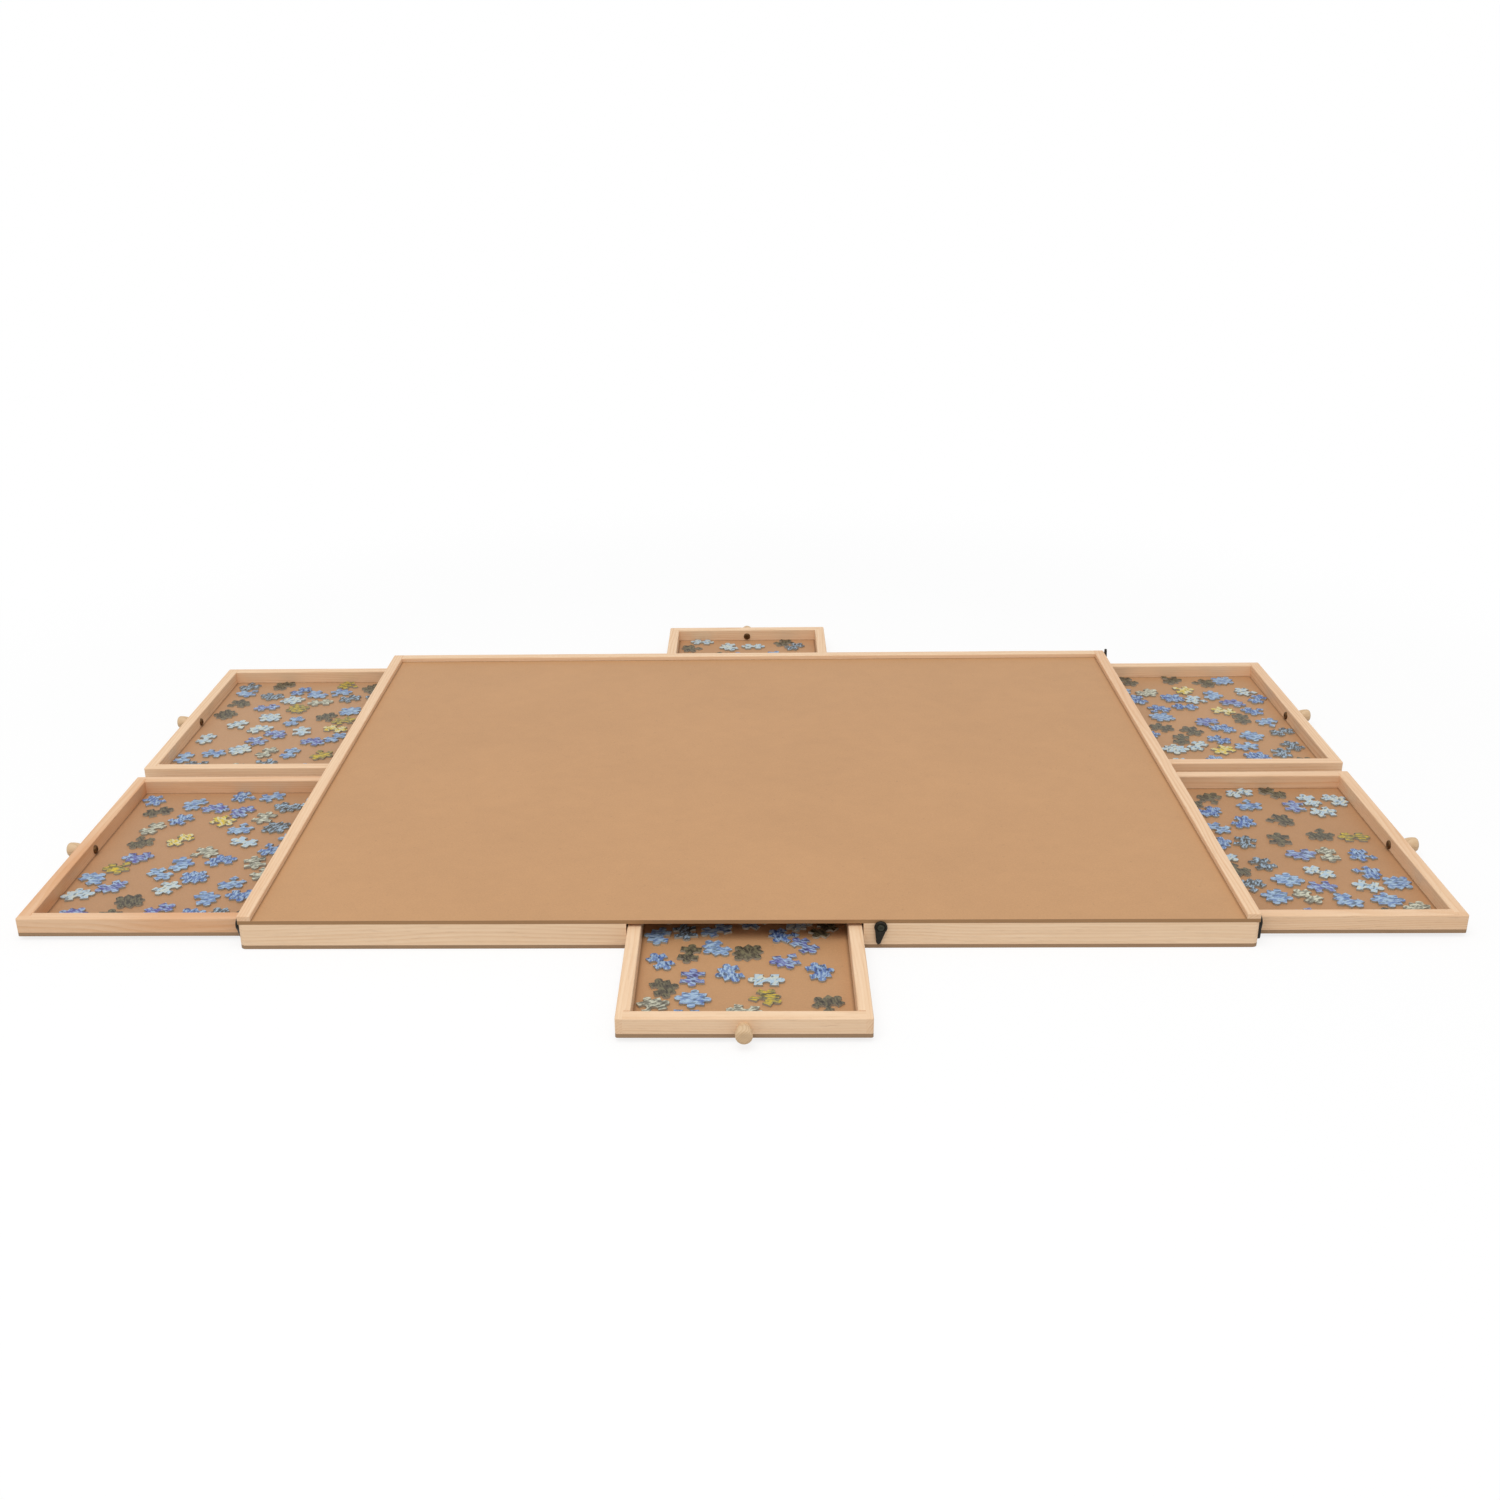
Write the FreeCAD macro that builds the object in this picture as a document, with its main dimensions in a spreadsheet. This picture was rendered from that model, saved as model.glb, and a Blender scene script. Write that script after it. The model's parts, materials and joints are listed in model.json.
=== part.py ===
import FreeCAD, Part
import Sketcher
import math
import os

# Jigsaw puzzle storage case: a flat wooden case whose top is the puzzle board.
# Six shallow drawers slide in it, two on the left, two on the right, one at the
# front and one at the back. A turn button beside each opening locks its drawer.
#
# Frame: millimetres, +X to the right, +Y to the back, +Z up, origin at the middle
# of the underside. Whatever belongs to one side of the case is drawn as if it
# faced the front (-Y), and is then placed by quarter turns about Z.

SIZES = [
    ("case_width", 889.0, "case, left to right"),
    ("case_depth", 685.8, "case, front to back"),
    ("case_corner", 5.0, "upright corners of base and rails"),
    ("base_thick", 3.6, "hardboard base"),
    ("rail_height", 20.7, "pine between base and deck"),
    ("rail_thick", 15.7, "front and back rails"),
    ("guide_thick", 12.0, "guides beside the middle drawers"),
    ("divider_thick", 20.0, "dividers between the side drawers"),
    ("stop_thick", 12.0, "stop between the middle drawers"),
    ("deck_thick", 3.6, "hardboard deck"),
    ("deck_corner", 1.5, "upright corners of deck and rim"),
    ("rim_width", 12.0, "rim on the left, the right and the back"),
    ("rim_height", 4.8, "rim above the deck"),
    ("rim_round", 1.0, "upper edges of the rim"),
    ("middle_drawer_width", 204.0, "front and back drawers"),
    ("side_play", 1.2, "gap on each side of a drawer"),
    ("end_play", 7.5, "gap behind a closed drawer"),
    ("floor_gap", 0.3, "gap under a drawer"),
    ("head_gap", 2.8, "gap over a drawer"),
    ("floor_thick", 3.6, "hardboard floor of a drawer"),
    ("wall_thick", 12.0, "drawer walls"),
    ("wall_lap", 6.0, "lip of a side wall beside its rabbet"),
    ("wall_round", 1.2, "upper edges of the drawer walls"),
    ("drawer_corner", 2.0, "upright corners of a drawer"),
    ("front_pull", 148.7, "front drawer, out of the case"),
    ("back_pull", 134.6, "back drawer, out of the case"),
    ("left_front_pull", 204.8, "left drawer at the front, out of the case"),
    ("left_back_pull", 206.2, "left drawer at the back, out of the case"),
    ("right_front_pull", 185.1, "right drawer at the front, out of the case"),
    ("right_back_pull", 188.4, "right drawer at the back, out of the case"),
    ("knob_length", 14.5, "turned knob, foot to crown"),
    ("knob_head", 14.0, "diameter at its head"),
    ("knob_foot", 10.8, "diameter at the drawer"),
    ("knob_foot_length", 1.5, "straight part at the drawer"),
    ("knob_head_length", 4.6, "straight part at the crown"),
    ("knob_round", 3.2, "rounded edge of the crown"),
    ("knob_bolt", 3.5, "diameter of its screw"),
    ("knob_bite", 10.0, "screw length inside the knob"),
    ("knob_bolt_head", 8.6, "diameter of the round head"),
    ("knob_bolt_rise", 2.0, "height of the round head"),
    ("bolt_point", 1.2, "length of a screw's point"),
    ("bolt_round", 0.8, "rounded share of a round head's height"),
    ("bolt_fit", 0.05, "gap round a screw in wood"),
    ("bolt_space", 0.5, "free hole beyond a screw's tip"),
    ("latch_head", 11.4, "turn button, width at its pivot"),
    ("latch_tip", 4.2, "turn button, width at its tip"),
    ("latch_reach", 16.3, "pivot to the end of the tip"),
    ("latch_thick", 2.5, "turn button"),
    ("latch_round", 0.6, "outer edge of a turn button"),
    ("latch_gap", 0.3, "gap under and over a turn button"),
    ("latch_play", 0.08, "gap round its screw"),
    ("latch_drop", 3.4, "pivot below the top of the rail"),
    ("latch_inset", 8.9, "pivot of a side latch to the case corner"),
    ("latch_offset", 14.8, "pivot of a middle latch to the slot"),
    ("latch_bolt", 3.0, "diameter of a latch screw"),
    ("latch_bite", 12.0, "screw length inside the rail"),
    ("latch_bolt_head", 6.4, "diameter of the round head"),
    ("latch_bolt_rise", 1.0, "height of the round head"),
    ("front_latch_turn", 7.2, "degrees from tip down"),
    ("back_latch_turn", 5.0, "degrees from tip down"),
    ("left_front_latch_turn", 15.0, "degrees from tip down"),
    ("left_back_latch_turn", -6.0, "degrees from tip down"),
    ("right_front_latch_turn", 8.0, "degrees from tip down"),
    ("right_back_latch_turn", 184.0, "degrees from tip down"),
]

# Heights above the underside of the case.
RAIL_TOP = "(Sizes.base_thick + Sizes.rail_height)"
DECK_TOP = f"({RAIL_TOP} + Sizes.deck_thick)"
DRAWER_BOTTOM = "(Sizes.base_thick + Sizes.floor_gap)"
WALL_BOTTOM = f"({DRAWER_BOTTOM} + Sizes.floor_thick)"
WALL_TOP = f"({RAIL_TOP} - Sizes.head_gap)"
WALL_HEIGHT = f"({WALL_TOP} - {WALL_BOTTOM})"
KNOB_AXIS = f"(({DRAWER_BOTTOM} + {WALL_TOP}) / 2)"
LATCH_AXIS = f"({RAIL_TOP} - Sizes.latch_drop)"

# Distances from the middle of the case.
HALF_WIDTH = "(Sizes.case_width / 2)"
HALF_DEPTH = "(Sizes.case_depth / 2)"
SLOT_EDGE = "(Sizes.middle_drawer_width / 2 + Sizes.side_play)"
GUIDE_EDGE = f"({SLOT_EDGE} + Sizes.guide_thick)"
BAY_EDGE = f"({HALF_DEPTH} - Sizes.rail_thick)"
HALF_DIVIDER = "(Sizes.divider_thick / 2)"
HALF_STOP = "(Sizes.stop_thick / 2)"
BAY_CENTRE = f"(({BAY_EDGE} + {HALF_DIVIDER}) / 2)"
SIDE_LATCH = f"({HALF_DEPTH} - Sizes.latch_inset)"
MIDDLE_LATCH = f"({SLOT_EDGE} + Sizes.latch_offset)"

# Width and length of the two sizes of drawer.
SIDE_DRAWER = (
    f"({BAY_EDGE} - {HALF_DIVIDER} - 2 * Sizes.side_play)",
    f"({HALF_WIDTH} - {GUIDE_EDGE} - Sizes.end_play)",
)
MIDDLE_DRAWER = (
    "Sizes.middle_drawer_width",
    f"({HALF_DEPTH} - {HALF_STOP} - Sizes.end_play)",
)

# Quarter turns about Z, from facing the front.
FRONT, RIGHT, BACK, LEFT = range(4)

# Each drawer: name, side it opens to, its size, and the middle of its face.
DRAWERS = [
    ("front_drawer", FRONT, MIDDLE_DRAWER, "0", f"-{HALF_DEPTH} - Sizes.front_pull"),
    ("back_drawer", BACK, MIDDLE_DRAWER, "0", f"{HALF_DEPTH} + Sizes.back_pull"),
    ("left_front_drawer", LEFT, SIDE_DRAWER, f"-{HALF_WIDTH} - Sizes.left_front_pull", f"-{BAY_CENTRE}"),
    ("left_back_drawer", LEFT, SIDE_DRAWER, f"-{HALF_WIDTH} - Sizes.left_back_pull", BAY_CENTRE),
    ("right_front_drawer", RIGHT, SIDE_DRAWER, f"{HALF_WIDTH} + Sizes.right_front_pull", f"-{BAY_CENTRE}"),
    ("right_back_drawer", RIGHT, SIDE_DRAWER, f"{HALF_WIDTH} + Sizes.right_back_pull", BAY_CENTRE),
]

# Each latch: name, side it is on, and its pivot on the face of the case.
LATCHES = [
    ("front_latch", FRONT, MIDDLE_LATCH, f"-{HALF_DEPTH}"),
    ("back_latch", BACK, f"-{MIDDLE_LATCH}", HALF_DEPTH),
    ("left_front_latch", LEFT, f"-{HALF_WIDTH}", f"-{SIDE_LATCH}"),
    ("left_back_latch", LEFT, f"-{HALF_WIDTH}", SIDE_LATCH),
    ("right_front_latch", RIGHT, HALF_WIDTH, f"-{SIDE_LATCH}"),
    ("right_back_latch", RIGHT, HALF_WIDTH, SIDE_LATCH),
]

SAME = 1e-4
UPRIGHT = FreeCAD.Vector(0, 0, 1)

# Sketcher's own references: its origin, its axes, and the points of a curve.
ORIGIN = (-1, 1)
AXIS = {"across": -1, "up": -2}
POINT = {"start": 1, "end": 2, "centre": 3}

doc = FreeCAD.newDocument("PuzzleCase")
sheet = doc.addObject("Spreadsheet::Sheet", "Sizes")
nodes = []


def fill_sheet():
    for row, (alias, size, note) in enumerate(SIZES, 1):
        sheet.set(f"A{row}", note)
        sheet.set(f"B{row}", str(size))
        sheet.setAlias(f"B{row}", alias)
    doc.recompute()


def number(expression):
    return float(sheet.evalExpression(expression))


def new_body(name):
    body = doc.addObject("PartDesign::Body", name)
    body.Label = name
    return body


def new_node(name):
    """A body that is a sub-part of its own."""
    body = new_body(name)
    nodes.append(body)
    return body


def place(piece, x, y, z, quarter=FRONT):
    """Put a piece at x, y, z, turned by quarters about Z."""
    base = FreeCAD.Vector(number(x), number(y), number(z))
    piece.Placement = FreeCAD.Placement(base, FreeCAD.Rotation(UPRIGHT, 90 * quarter))
    piece.setExpression(".Placement.Base.x", x)
    piece.setExpression(".Placement.Base.y", y)
    piece.setExpression(".Placement.Base.z", z)


# Sketches ---------------------------------------------------------------------


def new_sketch(body, name, role="XY_Plane", lift=None, turn=None):
    """A sketch on a plane of the body's own origin, or lifted off it and turned in it."""
    plane = [part for part in body.Origin.OriginFeatures if part.Role == role][0]
    sketch = body.newObject("Sketcher::SketchObject", name)
    sketch.AttachmentSupport = [(plane, "")]
    sketch.MapMode = "FlatFace"
    if lift:
        sketch.setExpression("AttachmentOffset.Base.z", lift)
    if turn:
        sketch.AttachmentOffset = FreeCAD.Placement(FreeCAD.Vector(), FreeCAD.Rotation(UPRIGHT, 1))
        sketch.setExpression("AttachmentOffset.Rotation.Angle", turn)
    return sketch


def rule(sketch, kind, *refs):
    sketch.addConstraint(Sketcher.Constraint(kind, *refs))


def tie(sketch, kind, refs, expression):
    """Add a dimension and bind it to the sheet."""
    index = sketch.addConstraint(Sketcher.Constraint(kind, *refs, number(expression)))
    sketch.setExpression(f"Constraints[{index}]", expression)


def tie_across(sketch, curve, point, expression):
    """Set how far a point lies to the right of the sketch's origin."""
    if expression == "0":
        rule(sketch, "PointOnObject", curve, point, AXIS["up"])
    else:
        tie(sketch, "DistanceX", (*ORIGIN, curve, point), expression)


def tie_up(sketch, curve, point, expression):
    """Set how far a point lies above the sketch's origin."""
    if expression == "0":
        rule(sketch, "PointOnObject", curve, point, AXIS["across"])
    else:
        tie(sketch, "DistanceY", (*ORIGIN, curve, point), expression)


def draw_outline(sketch, corners):
    """Close an outline of straight lines through corners, pairs of expressions."""
    first = sketch.GeometryCount
    points = [FreeCAD.Vector(number(x), number(y), 0) for x, y in corners]
    for start, end in zip(points, points[1:] + points[:1]):
        sketch.addGeometry(Part.LineSegment(start, end))
    lines = range(first, first + len(corners))
    for step, (x, y) in enumerate(corners):
        line = lines[step]
        before = lines[step - 1]
        x_before, y_before = corners[step - 1]
        rule(sketch, "Coincident", before, POINT["end"], line, POINT["start"])
        if x == x_before:
            rule(sketch, "Vertical", before)
        else:
            tie_across(sketch, line, POINT["start"], x)
        if y == y_before:
            rule(sketch, "Horizontal", before)
        else:
            tie_up(sketch, line, POINT["start"], y)


def draw_rectangle(sketch, x, far_x, y, far_y):
    draw_outline(sketch, [(x, y), (far_x, y), (far_x, far_y), (x, far_y)])


def draw_circle(sketch, diameter, x, y):
    centre = FreeCAD.Vector(number(x), number(y), 0)
    circle = sketch.addGeometry(Part.Circle(centre, UPRIGHT, number(diameter) / 2))
    tie(sketch, "Diameter", (circle,), diameter)
    tie_across(sketch, circle, POINT["centre"], x)
    tie_up(sketch, circle, POINT["centre"], y)


def draw_teardrop(sketch, head, tip, reach):
    """A round head about the origin, two tangent sides, and a narrower round tip below."""
    head_radius = number(head) / 2
    tip_radius = number(tip) / 2
    drop = number(reach) - tip_radius
    lean = math.asin((head_radius - tip_radius) / drop)
    low = FreeCAD.Vector(0, -drop, 0)
    side = FreeCAD.Vector(math.cos(lean), math.sin(lean), 0)
    other = FreeCAD.Vector(-side.x, side.y, 0)
    head_circle = Part.Circle(FreeCAD.Vector(), UPRIGHT, head_radius)
    tip_circle = Part.Circle(low, UPRIGHT, tip_radius)
    top = sketch.addGeometry(Part.ArcOfCircle(head_circle, lean, math.pi - lean))
    left = sketch.addGeometry(Part.LineSegment(other * head_radius, low + other * tip_radius))
    foot = sketch.addGeometry(Part.ArcOfCircle(tip_circle, math.pi - lean, math.tau + lean))
    right = sketch.addGeometry(Part.LineSegment(low + side * tip_radius, side * head_radius))
    for curve, after in ((top, left), (left, foot), (foot, right), (right, top)):
        rule(sketch, "Tangent", curve, POINT["end"], after, POINT["start"])
    rule(sketch, "Coincident", top, POINT["centre"], *ORIGIN)
    tie(sketch, "Diameter", (top,), head)
    tie(sketch, "Diameter", (foot,), tip)
    tie_across(sketch, foot, POINT["centre"], "0")
    tie_up(sketch, foot, POINT["centre"], f"{tip} / 2 - {reach}")


# Features ---------------------------------------------------------------------


def pad(body, sketch, length):
    feature = body.newObject("PartDesign::Pad", f"{sketch.Name}_pad")
    feature.Profile = sketch
    feature.setExpression("Length", length)
    sketch.Visibility = False
    return feature


def revolve(body, sketch):
    """Turn a profile about the sketch's own upright axis."""
    feature = body.newObject("PartDesign::Revolution", f"{sketch.Name}_turned")
    feature.Profile = sketch
    feature.ReferenceAxis = (sketch, ["V_Axis"])
    feature.Angle = 360
    sketch.Visibility = False
    return feature


def cut(body, sketch, depth=None, along_normal=False):
    """Cut a profile into the body, all the way through if no depth is given."""
    doc.recompute()
    volume = body.Shape.Volume
    feature = body.newObject("PartDesign::Pocket", f"{sketch.Name}_cut")
    feature.Profile = sketch
    feature.Reversed = along_normal
    if depth:
        feature.Type = "Length"
        feature.setExpression("Length", depth)
    else:
        feature.Type = "ThroughAll"
    sketch.Visibility = False
    doc.recompute()
    if body.Shape.Volume > volume - SAME:
        raise RuntimeError(f"{feature.Label} cuts nothing")
    return feature


def edges_at(feature, **at):
    """Names of the edges whose ends all lie at the given x, y or z."""
    doc.recompute()
    levels = {axis: number(expression) for axis, expression in at.items()}
    names = []
    for index, edge in enumerate(feature.Shape.Edges, 1):
        ends = [vertex.Point for vertex in edge.Vertexes]
        if all(abs(getattr(end, axis) - level) < SAME for axis, level in levels.items() for end in ends):
            names.append(f"Edge{index}")
    return names


def soften(body, radius, *places):
    """Round the edges of the body that lie at the given places."""
    base = body.Tip
    names = [name for at in places for name in edges_at(base, **at)]
    feature = body.newObject("PartDesign::Fillet", f"{body.Name}_soft_{len(body.Group)}")
    feature.Base = (base, names)
    feature.setExpression("Radius", radius)
    return feature


def upright_corners(x, y):
    """Places of the four upright edges of a board that lies at +-x, +-y."""
    return [{"x": f"{a}{x}", "y": f"{b}{y}"} for a in ("", "-") for b in ("", "-")]


# The case ---------------------------------------------------------------------


def make_board(name, bottom, thick, corner):
    """A hardboard sheet as large as the case."""
    body = new_node(name)
    plan = new_sketch(body, f"{name}_plan")
    draw_rectangle(plan, f"-{HALF_WIDTH}", HALF_WIDTH, f"-{HALF_DEPTH}", HALF_DEPTH)
    pad(body, plan, thick)
    soften(body, corner, *upright_corners(HALF_WIDTH, HALF_DEPTH))
    place(body, "0", "0", bottom)


def make_rails(name, y, quarter):
    """The two rails on one face, either side of the middle drawer, with screw holes."""
    body = new_node(name)
    plan = new_sketch(body, f"{name}_plan")
    draw_rectangle(plan, f"-{HALF_WIDTH}", f"-{SLOT_EDGE}", "0", "Sizes.rail_thick")
    draw_rectangle(plan, SLOT_EDGE, HALF_WIDTH, "0", "Sizes.rail_thick")
    pad(body, plan, "Sizes.rail_height")
    soften(body, "Sizes.case_corner", {"x": HALF_WIDTH, "y": "0"}, {"x": f"-{HALF_WIDTH}", "y": "0"})
    bore = "Sizes.latch_bolt + 2 * Sizes.bolt_fit"
    depth = "Sizes.latch_bite + Sizes.bolt_space"
    height = "Sizes.rail_height - Sizes.latch_drop"
    face_hole = new_sketch(body, f"{name}_face_hole", "XZ_Plane")
    draw_circle(face_hole, bore, MIDDLE_LATCH, height)
    cut(body, face_hole, depth)
    for end, sign in (("right", ""), ("left", "-")):
        hole = new_sketch(body, f"{name}_{end}_hole", "YZ_Plane", f"{sign}{HALF_WIDTH}")
        draw_circle(hole, bore, "Sizes.latch_inset", height)
        cut(body, hole, depth, along_normal=(end == "left"))
    place(body, "0", y, "Sizes.base_thick", quarter)


def make_pair(name, x, far_x, y, far_y, mirror_plane):
    """A strip between base and deck, and its twin on the other side of the case."""
    body = new_node(name)
    plan = new_sketch(body, f"{name}_plan")
    draw_rectangle(plan, x, far_x, y, far_y)
    strip = pad(body, plan, "Sizes.rail_height")
    twin = body.newObject("PartDesign::Mirrored", f"{name}_twin")
    twin.Originals = [strip]
    twin.MirrorPlane = [part for part in body.Origin.OriginFeatures if part.Role == mirror_plane][0], [""]
    body.Tip = twin
    place(body, "0", "0", "Sizes.base_thick")


def make_middle_stop():
    """The stop that both middle drawers close against."""
    body = new_node("middle_stop")
    plan = new_sketch(body, "middle_stop_plan")
    draw_rectangle(plan, f"-{SLOT_EDGE}", SLOT_EDGE, f"-{HALF_STOP}", HALF_STOP)
    pad(body, plan, "Sizes.rail_height")
    place(body, "0", "0", "Sizes.base_thick")


def make_rims():
    """Strips on the deck: two full-length sides, and a back between them."""
    inner = f"({HALF_WIDTH} - Sizes.rim_width)"
    back_inner = f"({HALF_DEPTH} - Sizes.rim_width)"
    for name, sign in (("rim_left", "-"), ("rim_right", "")):
        outer_x = f"{sign}{HALF_WIDTH}"
        inner_x = f"{sign}{inner}"
        body = new_node(name)
        plan = new_sketch(body, f"{name}_plan")
        draw_rectangle(plan, outer_x, inner_x, f"-{HALF_DEPTH}", HALF_DEPTH)
        pad(body, plan, "Sizes.rim_height")
        corners = [{"x": outer_x, "y": f"-{HALF_DEPTH}"}, {"x": outer_x, "y": HALF_DEPTH}]
        soften(body, "Sizes.deck_corner", *corners)
        top = "Sizes.rim_height"
        soften(body, "Sizes.rim_round", {"x": outer_x, "z": top}, {"x": inner_x, "z": top})
        place(body, "0", "0", DECK_TOP)
    body = new_node("rim_back")
    plan = new_sketch(body, "rim_back_plan")
    draw_rectangle(plan, f"-{inner}", inner, back_inner, HALF_DEPTH)
    pad(body, plan, "Sizes.rim_height")
    top = "Sizes.rim_height"
    soften(body, "Sizes.rim_round", {"y": back_inner, "z": top}, {"y": HALF_DEPTH, "z": top})
    place(body, "0", "0", DECK_TOP)


# Drawers ----------------------------------------------------------------------
# A drawer's own origin is the middle of its face; the drawer runs along +Y.


def make_drawer_floor(drawer, width, length, seat):
    body = new_node(f"{drawer}_floor")
    plan = new_sketch(body, f"{drawer}_floor_plan")
    half = f"({width} / 2)"
    draw_rectangle(plan, f"-{half}", half, "0", length)
    pad(body, plan, "Sizes.floor_thick")
    corners = [{"x": f"{sign}{half}", "y": y} for sign in ("", "-") for y in ("0", length)]
    soften(body, "Sizes.drawer_corner", *corners)
    place(body, *seat(DRAWER_BOTTOM))


def make_side_wall(drawer, hand, width, length, seat):
    """A side wall, with a rabbet at each end that takes the front or back wall."""
    sign = "-" if hand == "left" else ""
    outer = f"{sign}({width} / 2)"
    lip = f"{sign}({width} / 2 - Sizes.wall_lap)"
    inner = f"{sign}({width} / 2 - Sizes.wall_thick)"
    front_shoulder = "Sizes.wall_thick"
    back_shoulder = f"({length} - Sizes.wall_thick)"
    name = f"{drawer}_{hand}_side"
    body = new_node(name)
    plan = new_sketch(body, f"{name}_plan")
    draw_outline(plan, [
        (outer, "0"),
        (lip, "0"),
        (lip, front_shoulder),
        (inner, front_shoulder),
        (inner, back_shoulder),
        (lip, back_shoulder),
        (lip, length),
        (outer, length),
    ])
    pad(body, plan, WALL_HEIGHT)
    soften(body, "Sizes.drawer_corner", {"x": outer, "y": "0"}, {"x": outer, "y": length})
    soften(body, "Sizes.wall_round", {"x": outer, "z": WALL_HEIGHT}, {"x": inner, "z": WALL_HEIGHT})
    place(body, *seat(WALL_BOTTOM))


def make_end_wall(drawer, end, width, near_y, far_y, seat):
    """The front or back wall, held between the lips of the side walls."""
    name = f"{drawer}_{end}_board"
    half = f"({width} / 2 - Sizes.wall_lap)"
    body = new_node(name)
    plan = new_sketch(body, f"{name}_plan")
    draw_rectangle(plan, f"-{half}", half, near_y, far_y)
    pad(body, plan, WALL_HEIGHT)
    soften(body, "Sizes.wall_round", {"y": near_y, "z": WALL_HEIGHT}, {"y": far_y, "z": WALL_HEIGHT})
    if end == "front":
        hole = new_sketch(body, f"{name}_hole", "XZ_Plane")
        draw_circle(hole, "Sizes.knob_bolt + 2 * Sizes.bolt_fit", "0", f"{KNOB_AXIS} - {WALL_BOTTOM}")
        cut(body, hole)
    place(body, *seat(WALL_BOTTOM))


def make_knob(drawer, seat):
    """A turned knob, flared towards a rounded crown, with a blind hole for its screw."""
    foot = "Sizes.knob_foot / 2"
    head = "Sizes.knob_head / 2"
    hole = "Sizes.knob_bolt / 2 + Sizes.bolt_fit"
    crown = "-Sizes.knob_length"
    hole_end = "-Sizes.knob_bite - Sizes.bolt_space"
    body = new_node(f"{drawer}_knob")
    profile = new_sketch(body, f"{drawer}_knob_profile")
    draw_outline(profile, [
        (hole, "0"),
        (foot, "0"),
        (foot, "-Sizes.knob_foot_length"),
        (head, "Sizes.knob_head_length - Sizes.knob_length"),
        (head, crown),
        ("0", crown),
        ("0", hole_end),
        (hole, hole_end),
    ])
    revolve(body, profile)
    soften(body, "Sizes.knob_round", {"y": crown})
    place(body, *seat(KNOB_AXIS))


def turn_screw(body, bolt, head, rise, seat, tip, outwards):
    """A round-head screw along Y: its head stands on the seat, its point is at the tip."""
    step = "-" if outwards else "+"
    back = "+" if step == "-" else "-"
    crown = f"{seat} {step} {rise}"
    shoulder = f"{tip} {step} Sizes.bolt_point"
    profile = new_sketch(body, f"{body.Name}_profile")
    draw_outline(profile, [
        ("0", crown),
        (f"{head} / 2", crown),
        (f"{head} / 2", seat),
        (f"{bolt} / 2", seat),
        (f"{bolt} / 2", shoulder),
        ("0", tip),
    ])
    revolve(body, profile)
    soften(body, f"{rise} * Sizes.bolt_round", {"y": crown})


def make_drawer(drawer, quarter, size, x, y):
    width, length = size

    def seat(height):
        return x, y, height, quarter

    make_drawer_floor(drawer, width, length, seat)
    make_side_wall(drawer, "left", width, length, seat)
    make_side_wall(drawer, "right", width, length, seat)
    make_end_wall(drawer, "front", width, "0", "Sizes.wall_thick", seat)
    make_end_wall(drawer, "back", width, f"({length} - Sizes.wall_thick)", length, seat)
    make_knob(drawer, seat)
    screw = new_node(f"{drawer}_knob_screw")
    turn_screw(screw, "Sizes.knob_bolt", "Sizes.knob_bolt_head", "Sizes.knob_bolt_rise",
               "Sizes.wall_thick", "-Sizes.knob_bite", outwards=False)
    place(screw, *seat(KNOB_AXIS))


# Latches ----------------------------------------------------------------------
# A latch's own origin is its pivot on the face of the case; outwards is -Y.


def make_latch(name, quarter, x, y):
    """A turn button: a teardrop plate, bored for its screw."""
    body = new_node(name)
    plate = new_sketch(body, f"{name}_plate", "XZ_Plane", "Sizes.latch_gap", f"-Sizes.{name}_turn")
    draw_teardrop(plate, "Sizes.latch_head", "Sizes.latch_tip", "Sizes.latch_reach")
    pad(body, plate, "Sizes.latch_thick")
    soften(body, "Sizes.latch_round", {"y": "-Sizes.latch_gap - Sizes.latch_thick"})
    bore = new_sketch(body, f"{name}_bore", "XZ_Plane")
    draw_circle(bore, "Sizes.latch_bolt + 2 * Sizes.latch_play", "0", "0")
    cut(body, bore, along_normal=True)
    place(body, x, y, LATCH_AXIS, quarter)


def make_latch_screws():
    """The six screws that the latches turn on, as one node."""
    seat = "-2 * Sizes.latch_gap - Sizes.latch_thick"
    screws = []
    for name, quarter, x, y in LATCHES:
        screw = new_body(f"{name}_screw")
        turn_screw(screw, "Sizes.latch_bolt", "Sizes.latch_bolt_head", "Sizes.latch_bolt_rise",
                   seat, "Sizes.latch_bite", outwards=True)
        place(screw, x, y, LATCH_AXIS, quarter)
        screws.append(screw)
    group = doc.addObject("Part::Compound", "latch_screws")
    group.Label = "latch_screws"
    group.Links = screws
    nodes.append(group)


# Build and write --------------------------------------------------------------


def make_model():
    make_board("base_board", "0", "Sizes.base_thick", "Sizes.case_corner")
    make_board("deck_board", RAIL_TOP, "Sizes.deck_thick", "Sizes.deck_corner")
    make_rails("front_rails", f"-{HALF_DEPTH}", FRONT)
    make_rails("back_rails", HALF_DEPTH, BACK)
    make_pair("drawer_guides", SLOT_EDGE, GUIDE_EDGE, f"-{BAY_EDGE}", BAY_EDGE, "YZ_Plane")
    make_pair("side_dividers", GUIDE_EDGE, HALF_WIDTH, f"-{HALF_DIVIDER}", HALF_DIVIDER, "YZ_Plane")
    make_middle_stop()
    make_rims()
    for drawer, quarter, size, x, y in DRAWERS:
        make_drawer(drawer, quarter, size, x, y)
    for name, quarter, x, y in LATCHES:
        make_latch(name, quarter, x, y)
    make_latch_screws()
    doc.recompute()


def check_model():
    for item in doc.Objects:
        if "Invalid" in item.State or "Error" in item.State:
            raise RuntimeError(f"{item.Label} failed: {item.State}")
    for node in nodes:
        if node.Shape.isNull() or not node.Shape.isValid() or not node.Shape.Solids:
            raise RuntimeError(f"{node.Label} has no sound shape")


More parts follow.
